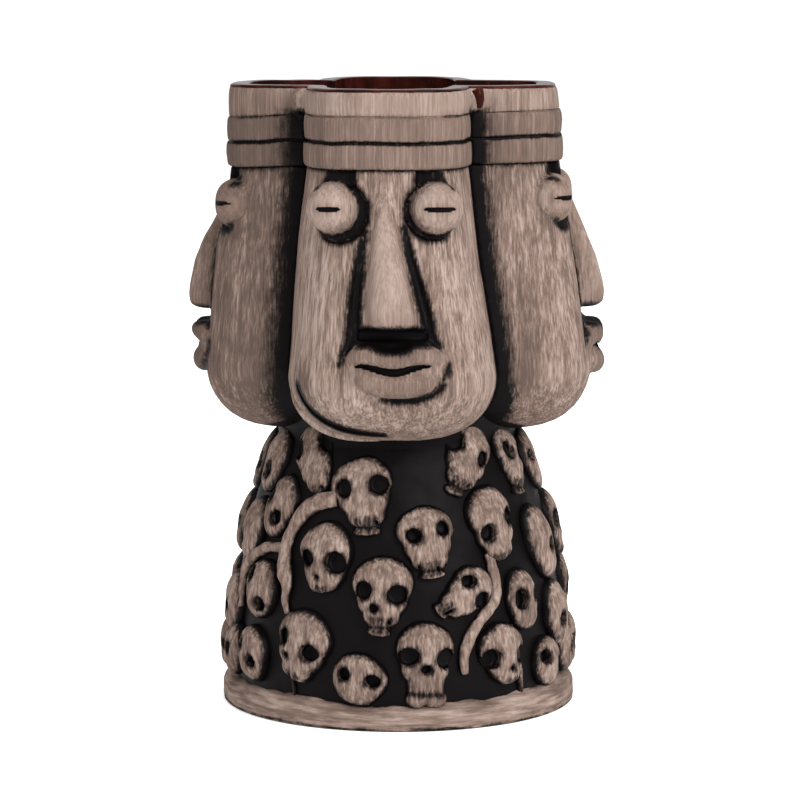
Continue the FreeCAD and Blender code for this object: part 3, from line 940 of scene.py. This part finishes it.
def easeBetween(values, table):
    # Reads a table of (height in mm, value) with soft steps between its rows.
    heights = np.array([height for height, _ in table]) * mm
    amounts = np.array([amount for _, amount in table])
    row = np.clip(np.searchsorted(heights, values, side="right") - 1, 0, len(heights) - 2)
    share = np.clip((values - heights[row]) / (heights[row + 1] - heights[row]), 0, 1)
    share = share * share * (3 - 2 * share)
    return amounts[row] + (amounts[row + 1] - amounts[row]) * share


# the whole casting leans a little to one side above the jaws
castingLean = ((72, 0.0), (86, -0.3), (124, -1.7), (160, -1.8))


def leanCasting(piece):
    points = readPoints(piece)
    points[:, 0] += easeBetween(points[:, 2], castingLean) * mm
    writePoints(piece, points)


def handFinish(piece, look):
    # Gives a copied head its own proportions, wash in its valleys, and slow unevenness.
    points = readPoints(piece)
    wash = readWash(piece)
    heights = points[:, 2].copy()
    valley = valleyDistance(points)
    offset, soft = [np.where(points[:, 0] < 0, left, right) for left, right in zip(*look["valley"])]
    underJaw = np.clip((86 * mm - heights) / mm, 0, 14) * 0.30
    valleyWash = (valley - offset - underJaw) * soft + 0.3 * (1 - soft)
    valleyWash = np.maximum(valleyWash, np.clip((heights / mm - rimTop / mm + 6.2) * 0.9, -9, 9))
    writeWash(piece, np.minimum(wash, valleyWash))
    outward = points * np.array([1.0, 1.0, 0.0])
    outward /= np.linalg.norm(outward, axis=1)[:, None] + 1e-9
    shift = (bumps(points, 70.0, look["seed"]) * 0.25
             + bumps(points, 260.0, look["seed"] + 1.5) * 0.09)
    points += outward * (shift * mm)[:, None]
    front = np.clip((-points[:, 1] / mm - 25.0) / 15.0, 0, 1)
    points[:, 2] += easeBetween(heights, look["lift"]) * mm * (0.35 + 0.65 * front)
    points[:, 1] -= easeBetween(heights, look["push"]) * mm * front
    points[:, 2] = np.clip(points[:, 2], 0, rimTop)
    writePoints(piece, points)


def followHeads(piece):
    # Moves a piece that spans all four heads the way each head was pushed.
    points = readPoints(piece)
    for look in heads.values():
        turn = math.radians(look["turn"])
        ahead = np.array([math.sin(turn), -math.cos(turn), 0.0])
        across = np.array([math.cos(turn), math.sin(turn), 0.0])
        forward, side = points @ ahead, np.abs(points @ across)
        front = np.where(forward > side, np.clip((forward / mm - 25.0) / 15.0, 0, 1), 0.0)
        points += (easeBetween(points[:, 2], look["push"]) * mm * front)[:, None] * ahead
    writePoints(piece, points)


jawCrease = {
    "lip": [(-25.2, 88.0, 0.4), (-24.4, 83.0, 1.2), (-22.0, 78.4, 1.5), (-17.4, 75.0, 1.6),
            (-10.0, 73.2, 1.3), (-3.0, 72.6, 0.4)],
    "gouge": [(-23.2, 87.0, 0.4), (-21.6, 83.0, 0.9), (-18.8, 79.6, 1.15), (-14.4, 77.0, 1.15),
              (-8.0, 75.2, 0.8), (-2.0, 74.4, 0.4)],
}


def addJawCrease(piece):
    # A lip of clay left along one side of the jaw, with a gouge behind it.
    face = FaceMap(piece)
    addOn(piece, remesh(face.tube(jawCrease["lip"], -0.1), 0.4 * mm))
    gouge = face.tube(jawCrease["gouge"])
    remesh(gouge, 0.3 * mm)
    cutAway(piece, gouge, keepTool=True)
    deepenWash(piece, distanceToCut(piece, gouge) - 0.5)
    bpy.data.objects.remove(gouge)


lobes = hollowTool(headShape["wall"])
well = headShape["wellRadius"]
lobes.append(spinProfile([(0, chin - 2 * mm), (well, chin - 2 * mm), (well, jaw + 3 * mm),
                          (0, jaw + 3 * mm)], steps=96))
for lobe in lobes:
    cutAway(head, lobe, keepTool=True)
    cutAway(headband, lobe, keepTool=True)
for place, look in heads.items():
    clay = makeClay(place + "HeadClay", (1900, 1900, 62), (0.03, 0.05, 0.0), look["cover"],
                    look["seed"], 0.7, look["fade"])
    for source, suffix, nodes in ((head, "Head", headNodes), (headband, "Headband", bandNodes)):
        piece = ownCopy(source)
        if source == head:
            if place == "front":
                addJawCrease(piece)
            cutSlits(piece, look["slits"])
        handFinish(piece, look)
        piece.rotation_euler = (0, 0, math.radians(look["turn"]))
        settle(piece)
        leanCasting(piece)
        finishPiece(piece, place + suffix, clay,
                    [place + "_head" + ending for ending in nodes])
for spare in (head, headband, *lobes):
    bpy.data.objects.remove(spare)
print("four heads placed")


footShape = {
    "neckRadius": 31.0 * mm,
    "wall": 4.0 * mm,
    "hollow": 1.5 * mm,
    "hollowRadius": 37.5 * mm,
    "collar": (31.3 * mm, 28.5 * mm, 27.5 * mm),     # outside, inside, and inside at the neck
    "ringTop": 6.4 * mm,
    "lowerRound": 1.3 * mm,
    "upperRound": 2.7 * mm,
}


def wallRadius(height):
    # The foot's outside, an arc that is upright at the ring and draws in to the neck.
    rise, draw = neckTop - ringTop, footRadius - footShape["neckRadius"]
    bend = (rise ** 2 + draw ** 2) / (2.0 * draw)
    above = np.clip(height - ringTop, 0.0, rise + 6 * mm)
    return footRadius - bend + np.sqrt(bend ** 2 - above ** 2)


def moveOut(points, amount):
    # moves points away from the axis by an amount
    radius = np.hypot(points[:, 0], points[:, 1])
    scale = 1.0 + amount / np.maximum(radius, 1 * mm)
    return points * np.stack([scale, scale, np.ones_like(scale)], axis=1)


def makeFootWall():
    shape = footShape
    collar = jaw + 2 * mm
    outer, inner, neck = shape["collar"]
    profile = [(0, shape["hollow"]), (shape["hollowRadius"], shape["hollow"]),
               (shape["hollowRadius"] + 1.0 * mm, 0.2 * mm), (footRadius - 0.4 * mm, 0.0)]
    profile += [(wallRadius(z), z) for z in np.linspace(1.0 * mm, neckTop, 100)]
    profile += [(outer, z) for z in np.linspace(neckTop + 3.5 * mm, collar, 12)]
    profile += [(inner, collar), (neck, neckTop)]
    profile += [(wallRadius(z) - shape["wall"], z)
                for z in np.linspace(neckTop - 4 * mm, floorHeight + 3 * mm, 12)]
    profile += [(36 * mm, floorHeight - 0.02 * mm), (0, floorHeight - 0.02 * mm)]
    piece = spinProfile(profile)
    points = readPoints(piece)
    outside = ((np.hypot(points[:, 0], points[:, 1]) > wallRadius(points[:, 2]) - 1 * mm)
               & (points[:, 2] > 2 * mm))
    unevenness = bumps(points, 160.0, 21.0) * 0.35 + bumps(points, 420.0, 31.0) * 0.10
    writePoints(piece, moveOut(points, np.where(outside, unevenness * mm, 0.0)))
    writeWash(piece, bumps(points, 330.0, 12.0) * 0.2 - 1.6)
    return piece


def makeFootRing():
    # The plain ring that the mug stands on, with a wavy upper edge.
    out = ringRadius - footRadius
    top, low, high = footShape["ringTop"], footShape["lowerRound"], footShape["upperRound"]
    profile = [(footRadius - 1.2 * mm, 0.0), (footRadius + 0.45 * out, 0.0)]
    for step in range(1, 9):
        angle = math.radians(-80 + 10 * step)
        profile.append((ringRadius - low + low * math.cos(angle), low + low * math.sin(angle)))
    profile += [(ringRadius - 0.05 * mm, share * (top - high)) for share in (0.5, 0.7, 0.85, 1.0)]
    for step in range(1, 10):
        angle = math.radians(10 * step)
        profile.append((footRadius - 0.6 * mm + (out + 0.5 * mm) * math.cos(angle),
                        top - high + high * math.sin(angle)))
    profile += [(footRadius - 1.2 * mm, top - 0.5 * mm), (footRadius - 1.2 * mm, 0.0)]
    piece = spinProfile(profile, steps=420)
    points = readPoints(piece)
    angle = np.arctan2(points[:, 1], points[:, 0])
    circle = np.stack([np.cos(angle), np.sin(angle), np.zeros_like(angle)], axis=1)
    wave = (bumps(circle, 3.2, 5.0) * 1.0 + bumps(circle, 11.0, 8.0) * 0.5
            + 1.7 * np.abs(circle[:, 0]) ** 2)
    share = np.clip(points[:, 2] / top, 0.0, 1.0)
    points[:, 2] += share ** 2 * wave * mm
    rough = bumps(points, 420.0, 2.0) * 0.14 + bumps(points, 120.0, 3.0) * 0.28 - 0.3
    outer = (np.hypot(points[:, 0], points[:, 1]) > footRadius) & (points[:, 2] > 0.6 * mm)
    points = moveOut(points, np.where(outer, rough * mm, 0.0))
    points[:, 2] = np.maximum(points[:, 2], 0.0)
    writePoints(piece, points)
    inner = (np.hypot(points[:, 0], points[:, 1]) - footRadius) / mm
    writeWash(piece, np.minimum(inner * 1.3 + 0.2 + 0.6 * wave, (points[:, 2] / mm) * 0.9 + 0.1))
    return piece


skullShape = {
    "relief": 3.8,
    "voxel": 0.40 * mm,
    # middle, width and height of each lump as shares of the skull's, and its share of the relief
    "plain": [(0.0, 0.04, 1.0, 0.92, 1.0), (0.02, -0.14, 0.82, 0.74, 0.95)],
    "egg": [(0.0, 0.10, 1.0, 0.76, 1.0), (0.02, -0.14, 0.78, 0.66, 0.95),
            (0.04, -0.31, 0.58, 0.38, 0.9), (0.0, 0.24, 0.55, 0.50, 0.95)],
    "toothed": [(0.0, 0.13, 1.0, 0.74, 1.0), (0.02, -0.10, 0.86, 0.58, 0.95),
                (0.04, -0.30, 0.60, 0.40, 0.9)],
    "jawed": [(0.0, 0.18, 1.0, 0.62, 1.0), (0.02, -0.04, 0.80, 0.50, 0.95),
              (0.03, -0.24, 0.60, 0.32, 0.9)],
    "square": [(0.0, 0.17, 1.0, 0.62, 1.0), (0.0, -0.05, 0.84, 0.44, 0.95),
               (0.0, -0.22, 0.66, 0.34, 0.9),
               (-0.14, -0.36, 0.40, 0.26, 0.85), (0.14, -0.36, 0.40, 0.26, 0.85)],
    "jaw": (0.02, -0.435, 0.44, 0.12, 0.72),
    # shares of a skull's height and width: the eyes' level and size, the teeth's level and
    # spacing, and the line above a loose jaw
    "eyes": {"plain": (0.03, 0.11), "square": (0.1, 0.13), "egg": (0.02, 0.13),
             "toothed": (0.04, 0.135), "jawed": (0.10, 0.13)},
    "teeth": {"egg": (-0.47, 0.10), "toothed": (-0.47, 0.125), "jawed": (-0.345, 0.125),
              "square": (-0.22, 0.13)},
    "jawLine": {"jawed": 0.375, "square": 0.31},
    "eyeApart": 0.245,
    "cutDepth": 8.0,
    "toothGap": 0.75,
}


def addPebble(place, width, tall, relief):
    # A low lump with a flat top and steep, rounded sides, in mm; Y is off the wall.
    ball = addBall((0, 0, 0), (1, 1, 1))
    points = readPoints(ball) * 2.0
    radius = np.clip(np.hypot(points[:, 0], points[:, 2]), 0, 1)
    points[:, 1] = np.sign(points[:, 1]) * (1.0 - radius ** 2.5) ** (1 / 2.1) * relief
    points[:, 0] = points[:, 0] * 0.5 * width + place[0]
    points[:, 2] = points[:, 2] * 0.5 * tall + place[1]
    writePoints(ball, points * mm)
    return ball


def makeSkull(shape, azimuth, height, width, tall, lean, eyes=(), nose=None, teeth=3, seed=0.0):
    # One skull, made flat facing -Y with Y 0 on the wall, then leant and bent round the foot.
    # eyes are (across, up, half width, half height) in mm from the skull's middle.
    relief = skullShape["relief"] * (1.0 - 0.3 * min(max((height - 50.0) / 14.0, 0.0), 1.0))
    lumps = [addPebble((x * width, z * tall), w * width, t * tall, r * relief) for x, z, w, t,
             r in skullShape[shape]]
    if shape == "jawed":
        x, z, w, t, r = skullShape["jaw"]
        lumps.append(addPebble((x * width, z * tall), w * width, t * tall, r * relief))
    skull = remesh(joined(lumps), skullShape["voxel"])
    soften(skull, 2)

    if not eyes:
        level, size = skullShape["eyes"][shape]
        eyes = [(side * skullShape["eyeApart"] * width,
                 level * tall + 0.4 * noise.noise(Vector((seed, side, 0))), size * width,
                 size * width * (1.1 + 0.25 * noise.noise(Vector((seed, side, 5)))))
                for side in (-1, 1)]
    depth = skullShape["cutDepth"]
    holes = []
    for across, up, halfWidth, halfTall in eyes:
        hole = addPeg((0, 0, 0), 1.0, depth * mm)
        hole.scale = (halfWidth * mm, 1.0, halfTall * mm)
        hole.location = (across * mm, -(0.25 + 0.5 * depth) * mm, up * mm)
        hole.rotation_euler = (0, 0.4 * noise.noise(Vector((seed, across, 9))), 0)
        holes.append(settle(hole))
    if nose:
        across, up, size = nose
        holes.append(addPeg((across * mm, -(0.8 + 0.5 * depth) * mm, up * mm), size * mm,
                            depth * mm))
    if shape != "plain" and teeth:
        bottom, spread = skullShape["teeth"][shape]
        for index in range(teeth):
            across = (index - 0.5 * (teeth - 1)) * spread * width + 0.04 * width
            holes.append(addBlock((across * mm, -(0.7 + 0.5 * depth) * mm, bottom * tall * mm),
                                  (skullShape["toothGap"] * mm, depth * mm, 0.17 * tall * mm),
                                  0.08 * (index - 1)))
    tool = remesh(joined(holes), 0.22 * mm)
    cutAway(skull, tool, keepTool=True)
    slicePiece(skull, (0, 0.5 * mm, 0), (0, 1, 0))
    remesh(skull, skullShape["voxel"])
    soften(skull, 2, 0.4)

    points = readPoints(skull)
    off = -points[:, 1] / mm
    wash = np.minimum(distanceTo(points, tool) + 0.05, (off - 0.42 * relief) * 1.0)
    if shape in skullShape["jawLine"]:
        line = skullShape["jawLine"][shape] * tall
        wash = np.minimum(wash, np.abs(points[:, 2] / mm + line) - 0.2)
    writeWash(skull, wash)
    bpy.data.objects.remove(tool)

    # no two are pressed alike
    for axis, scale, fine, more, amount, small in (
        (0, 120.0, 420.0, (0.0, 3.0), 0.7, 0.16),
        (2, 120.0, 420.0, (0.5, 4.0), 0.7, 0.16),
        (1, 220.0, 700.0, (1.0, 2.0), -0.3, -0.07),
    ):
        points[:, axis] += (bumps(points, scale, seed + more[0]) * amount
                            + bumps(points, fine, seed + more[1]) * small) * mm
    turn = math.radians(lean)
    across = points[:, 0] * math.cos(turn) + points[:, 2] * math.sin(turn)
    up = points[:, 2] * math.cos(turn) - points[:, 0] * math.sin(turn)
    writePoints(skull, wrapOnFoot(np.stack([across, points[:, 1], up], axis=1), azimuth,
                                  height * mm))
    return skull


# shape, azimuth in degrees, height, width, tall, lean to the right in degrees, then the eyes,
# the nose and the count of teeth
skullTiers = {
    "neck_skulls": [
        ("plain", -66, 64.5, 13, 17, -4, [(0.5, -2.6, 1.7, 2.2)]),
        ("toothed", -38, 66.5, 11.5, 19, -24, [(-3.6, 3.6, 1.8, 2.5), (4.6, 2.6, 1.8, 3.2)], None,
         2),
        ("jawed", 33.5, 66.8, 14, 21, 32, [(-4.6, 2.6, 2.5, 2.7), (3.6, 1.6, 1.6, 2.2)]),
        ("jawed", 60, 65, 11.5, 18, 2, [(-1.4, 2.8, 1.9, 2.3), (4.0, 2.2, 1.4, 2.2)]),
        ("plain", 84, 64, 13, 17, 4), ("toothed", 113, 62.5, 15, 18, -12),
        ("jawed", 146, 63, 15.5, 19, 14), ("toothed", 178, 63.5, 16, 18, -5),
        ("plain", 208, 63.5, 14.5, 17, 10), ("jawed", 238, 62.5, 15, 19, -16),
        ("toothed", 266, 62.5, 14, 17, 12),
    ],
    "upper_skulls": [
        ("plain", -50.5, 53.6, 11.5, 16.5, 14, [(-3.2, 2.4, 1.5, 2.0), (1.4, -2.0, 1.7, 2.1)]),
        ("jawed", -12, 58.2, 16.8, 20, -8, [(-4.1, 2.4, 1.8, 2.4), (4.4, 2.6, 2.6, 2.6)]),
        ("jawed", 12.9, 47.2, 15.6, 18.8, -4, [(-2.9, 2.2, 1.9, 2.0), (4.0, 3.0, 1.7, 2.0)], None,
         4),
        ("toothed", 40, 50.5, 14.5, 18.5, -4, [(-2.6, -1.6, 1.9, 2.1), (4.6, 1.4, 1.9, 2.3)]),
        ("plain", 67, 44, 13, 20, -12, [(1.8, -1.2, 1.9, 2.0)]),
        ("toothed", 95, 46, 16, 18.5, 12), ("jawed", 126, 46, 16, 20, -14),
        ("plain", 154, 46.5, 15.5, 17, 10), ("toothed", 181, 46, 16.5, 19, 5),
        ("jawed", 209, 45.5, 15.5, 19.5, 16), ("toothed", 236, 45.5, 15.5, 18.5, -8),
        ("plain", 262, 46, 15.5, 17.5, 12),
        ("plain", -67, 47, 12, 16.5, 2, [(-2.2, -2.6, 1.6, 2.1)]),
    ],
    "middle_skulls": [
        ("plain", -53.5, 32.5, 13.5, 15.5, 8, [(-3.4, 3.2, 1.6, 2.0), (2.4, -3.0, 1.8, 2.0)]),
        ("egg", -24.8, 43, 14.8, 18.6, 2, [(-3.8, -0.8, 1.9, 2.3), (3.4, -0.8, 2.4, 2.5)],
         (-0.8, -4.9, 0.6), 2),
        ("jawed", -3.6, 33.8, 16.4, 20.4, 4, [(-4.0, 1.4, 2.1, 2.4), (3.7, 0.8, 2.3, 2.5)],
         (-1.2, -2.8, 1.05)),
        ("jawed", 25.2, 34.0, 11.6, 17, 58, [(-2.4, 2.4, 1.7, 1.8), (3.4, 2.6, 1.9, 1.8)], None, 2),
        ("plain", 50, 31, 11.5, 16, 4, [(-2.0, 0.2, 1.9, 2.6), (3.8, 1.4, 1.5, 2.0)]),
        ("plain", 72, 24.5, 12.5, 18.5, -6, [(-0.8, -1.0, 1.8, 2.0)]),
        ("toothed", 102, 30, 15.5, 17.5, -16), ("plain", 130, 28.5, 15, 16, 8),
        ("toothed", 156, 30, 15.5, 17.5, -6), ("jawed", 182, 28.5, 15, 18, 10),
        ("plain", 207, 28, 15, 16, -12), ("toothed", 232, 28.5, 15.5, 17.5, 18),
        ("plain", 257, 29.5, 15, 16, -10),
        ("plain", -76, 27, 12.5, 16.5, 4, [(0.5, -1.0, 1.6, 1.9)]),
    ],
    "lower_skulls": [
        ("plain", -71, 15, 11.5, 14, 6, [(0.8, 0.5, 1.6, 1.8)]),
        ("plain", -55.5, 15.8, 13, 14.5, -6, [(-2.8, 2.6, 1.5, 1.8), (1.6, -1.6, 1.6, 1.9)]),
        ("toothed", -31.5, 20.2, 16.5, 18.5, 16, [(-4.6, 0.8, 1.8, 2.4), (3.4, -0.4, 2.3, 2.4)],
         (-2.2, -3.4, 0.9), 2),
        ("plain", -10.6, 12.8, 14.4, 13.6, 12, [(-3.3, 1.1, 1.5, 1.7), (3.3, 1.0, 1.8, 1.8)]),
        ("square", 11.4, 17.0, 15.2, 23.0, 0, [(-4.1, 2.4, 2.5, 2.4), (4.6, 1.6, 2.3, 2.6)],
         (0.0, -1.2, 1.2), 0),
        ("egg", 39.2, 18, 14.2, 16.5, -10, [(-4.2, 0.2, 2.3, 2.8), (4.6, -1.4, 1.7, 2.1)],
         (1.2, -3.7, 0.8), 2),
        ("plain", 61.5, 13.8, 12, 13.4, -4, [(-2.6, 1.8, 1.8, 1.8), (3.6, -1.0, 1.5, 1.8)]),
        ("plain", 78, 15, 11, 13.5, 6, [(0.4, 0.3, 1.5, 1.8)]),
        ("toothed", 92, 15.5, 14.5, 15.5, -8), ("plain", 110, 14.5, 14.5, 14, 12),
        ("toothed", 129, 15, 15, 15, -10), ("plain", 148, 14.5, 14.5, 14, 6),
        ("toothed", 167, 15, 15.5, 15.5, 10), ("plain", 187, 14, 14.5, 14, -14),
        ("toothed", 205, 14.5, 15, 14.5, 4), ("plain", 224, 14.5, 14.5, 14, -8),
        ("toothed", 243, 15, 15, 15, 12), ("plain", 261, 15, 14.5, 14.5, -6),
        ("plain", 276, 15, 11.5, 13.5, 8),
    ],
}


def wrapOnFoot(points, azimuth, height):
    # Bends flat points (X across, Y off the wall, Z up) round the foot's wall at a place.
    up = height + points[:, 2]
    turn = math.radians(azimuth) + points[:, 0] / wallRadius(height)
    radius = wallRadius(up) - points[:, 1]
    return np.stack([radius * np.sin(turn), -radius * np.cos(turn), up], axis=1)


# points of azimuth and height, and how thick the bone is there
bones = {
    "left_arm_bone": [(-22.5, 57.0, 1.7), (-28, 56.8, 2.0), (-34, 55.0, 2.0), (-39.5, 51.0, 1.7),
                      (-42.5, 46.0, 1.5), (-43.0, 41.5, 1.6), (-41.6, 38.0, 2.1),
                      (-40.0, 34.5, 1.4), (-40.4, 31.0, 0.9), (-38.6, 27.5, 0.6)],
    "left_hand_bone": [(-42.5, 44.0, 1.1), (-50, 43.8, 1.3), (-59, 41.8, 1.4), (-66.5, 38.0, 1.4),
                       (-69.4, 33.0, 1.3), (-67, 26.5, 1.1)],
    "right_rib_bone": [(36.6, 43.5, 1.1), (38, 39.0, 1.2), (38.6, 34.5, 1.5), (36.6, 30.6, 1.3),
                       (31.0, 27.0, 1.4), (26.4, 22.8, 1.4), (24.0, 17.8, 1.3), (24.8, 13.6, 0.9)],
    "back_arm_bone": [(140, 52, 1.2), (141, 46, 1.7), (142, 40, 1.5), (143.5, 34, 1.5),
                      (142, 28, 1.7), (139, 22, 1.2)],
    "back_rib_bone": [(222, 54, 1.2), (223, 47, 1.6), (221, 40, 1.5), (218.5, 34, 1.5),
                      (217.5, 28, 1.6), (216, 22, 1.2)],
}
# ragged ridges where the halves of the mould met, and lumps of clay left by the modeller
seams = {
    "middle_skulls": [[(-40.6, 33.0, 0.5), (-41.2, 30.0, 0.6), (-39.4, 26.5, 0.5)]],
    "lower_skulls": [[(-39.6, 27.0, 0.45), (-37.4, 22.0, 0.6), (-38.2, 17.5, 0.55),
                      (-36.4, 12.0, 0.6), (-34.6, 7.0, 0.6), (-34.2, 3.0, 0.4)],
                     [(44.0, 25.0, 0.6), (46.4, 21.0, 0.8), (46.0, 17.5, 0.9), (48.0, 14.0, 0.7),
                      (47.6, 10.0, 1.0), (48.4, 5.0, 0.8), (48.6, 2.5, 0.4)]],
}


def makeRope(route, lift, grow, seed):
    places, radii = [], []
    for azimuth, height, radius in route:
        flat = np.array([[0.0, -lift * mm, 0.0]])
        places.append(Vector(wrapOnFoot(flat, azimuth, height * mm)[0]))
        radii.append(radius * grow * mm)
    piece = remesh(addTube(places, radii), 0.34 * mm)
    points = readPoints(piece)
    points += np.stack([bumps(points, 380.0, seed + k) for k in (0, 3, 6)], axis=1) * 0.35 * mm
    writePoints(piece, points)
    soften(piece, 2)
    points = readPoints(piece)
    off = (np.hypot(points[:, 0], points[:, 1]) - wallRadius(points[:, 2])) / mm
    writeWash(piece, (off - 0.75) * 1.1)
    return piece


footWash = makeClay("footWash", (300, 300, 300), seed=1.0)
finishPiece(makeFootWall(), "footWall", footWash, ["foot_wall"])
ringClay = makeClay("ringClay", (110, 110, 950), seed=5.0, cover=0.005, ragged=1.2)
finishPiece(makeFootRing(), "footRing", ringClay, ["foot_ring"])
print("foot turned")

skullClay = makeClay("skullClay", (1300, 1300, 330), (0.5, 0.75, 0.2), 0.020, 2.0, 0.75,
                     (-0.2, 1.15))
count = 0
for tier, skulls in skullTiers.items():
    made = []
    for row in skulls:
        count += 1
        made.append(makeSkull(*row, seed=1.7 * count))
    made += [makeRope(route, 0.2, 1.0, 5.0) for route in seams.get(tier, [])]
    finishPiece(joined(made), tier.split("_")[0] + "Skulls", skullClay, [tier])
for name, route in bones.items():
    first, *rest = name.split("_")
    label = first + "".join(word.title() for word in rest)
    finishPiece(makeRope(route, 0.9, 1.1, 4.0), label, skullClay, [name])
print("skulls and bones placed")


glazeShape = {
    "coat": 0.45 * mm,
    "rimCoat": 0.12 * mm,
    "voxel": 1.15 * mm,
    "rimVoxel": 0.4 * mm,
    # radius and rise above the floor, in mm, where the lining turns up into the wall
    "turnUp": [(0, 0), (30, 0), (36.2, 0.5), (38.3, 3)],
    "neck": 26.6 * mm,
    # the run of glaze: share of the corner, height and radius
    "run": [(1.00, 159.4, 1.6), (1.02, 157.8, 1.5), (1.02, 156.2, 1.3), (1.01, 154.8, 0.8)],
}


def makeLiner():
    # The glaze that lines the inside, as a thin coat that follows the clay.
    lobes = hollowTool(headShape["wall"] + 0.02 * mm)
    profile = [(radius * mm, floorHeight + rise * mm) for radius, rise in glazeShape["turnUp"]]
    profile += [(wallRadius(z) - footShape["wall"] - 0.02 * mm, z)
                for z in np.linspace(floorHeight + 6 * mm, neckTop, 12)]
    profile += [(glazeShape["neck"], jaw), (0, jaw)]
    inside = addOn(addOn(lobes[0], lobes[1]), spinProfile(profile, steps=96))
    remesh(inside, glazeShape["voxel"])
    soften(inside, 4)
    slicePiece(inside, (0, 0, rimTop + 0.1 * mm), (0, 0, 1))
    pick(inside)
    bpy.ops.object.mode_set(mode="EDIT")
    bpy.ops.mesh.select_mode(type="FACE")
    bpy.ops.mesh.select_all(action="DESELECT")
    bpy.ops.object.mode_set(mode="OBJECT")
    for face in inside.data.polygons:
        face.select = face.center.z > rimTop and face.normal.z > 0.9
    bpy.ops.object.mode_set(mode="EDIT")
    bpy.ops.mesh.delete(type="FACE")
    bpy.ops.object.mode_set(mode="OBJECT")
    applyModifier(inside, "SOLIDIFY", thickness=glazeShape["coat"], offset=-1.0, use_rim=True)
    followHeads(inside)
    leanCasting(inside)
    return inside


def makeRimCoat():
    # Glaze over the rim, with a wavy edge outside and a run in one valley.
    shape = glazeShape
    quarters = []
    for turn in (0, 90, 180, 270):
        rings = []
        base = bandShape["proud"] - bandShape["rimDraw"]
        for share, more in ((0.5, -0.3), (0.62, 0.0), (0.75, 0.0), (0.86, 0.0), (0.95, 0.0),
                            (1.0, 0.0)):
            out = base + shape["rimCoat"] + more * mm - rimTurn(share)
            height = rimTop - bandShape["rimRounding"] * (1 - share) + 0.3 * mm * share
            rings.append((out + headShape["browHalfWidth"], out + headShape["browReach"], height,
                          0.0))
        quarter = stackRings(rings, headShape["squareness"], sides=192)
        quarter.rotation_euler = (0, 0, math.radians(turn))
        quarters.append(settle(quarter))
    coat = quarters[0]
    for quarter in quarters[1:]:
        addOn(coat, quarter)
    for lobe in hollowTool(headShape["wall"] + 0.3 * mm):
        cutAway(coat, lobe)
    corner = 0.5 * (headShape["browHalfWidth"] + headShape["browReach"]) * 0.70
    addOn(coat, addTube([Vector((corner * k, -corner * k, z * mm)) for k, z, _ in shape["run"]],
                        [radius * mm for *_, radius in shape["run"]]))
    applyModifier(coat, "TRIANGULATE")
    remesh(coat, shape["rimVoxel"])
    soften(coat, 2)
    points = readPoints(coat)
    low = np.clip((rimTop - points[:, 2]) / mm, 0, 2.0) / 2.0
    circle = points / np.linalg.norm(points[:, :2], axis=1)[:, None] * np.array([1.0, 1.0, 0.0])
    waves = bumps(circle, 9.0, 4.0) * 1.1 + bumps(circle, 30.0, 6.0) * 0.5
    points[:, 2] -= low * waves * mm * 0.8
    points[:, 2] = np.minimum(points[:, 2] + bumps(circle, 6.0, 8.0) * 0.12 * mm, rimTop + 0.5 * mm)
    writePoints(coat, points)
    followHeads(coat)
    leanCasting(coat)
    return coat


finishPiece(makeLiner(), "interiorGlaze", makeGlaze("redBrownGlaze", 1.25),
            ["interior_glaze"])
finishPiece(makeRimCoat(), "rimGlaze", makeGlaze("thinRimGlaze", 1.1),
            ["rim_glaze"])
print("glaze poured")
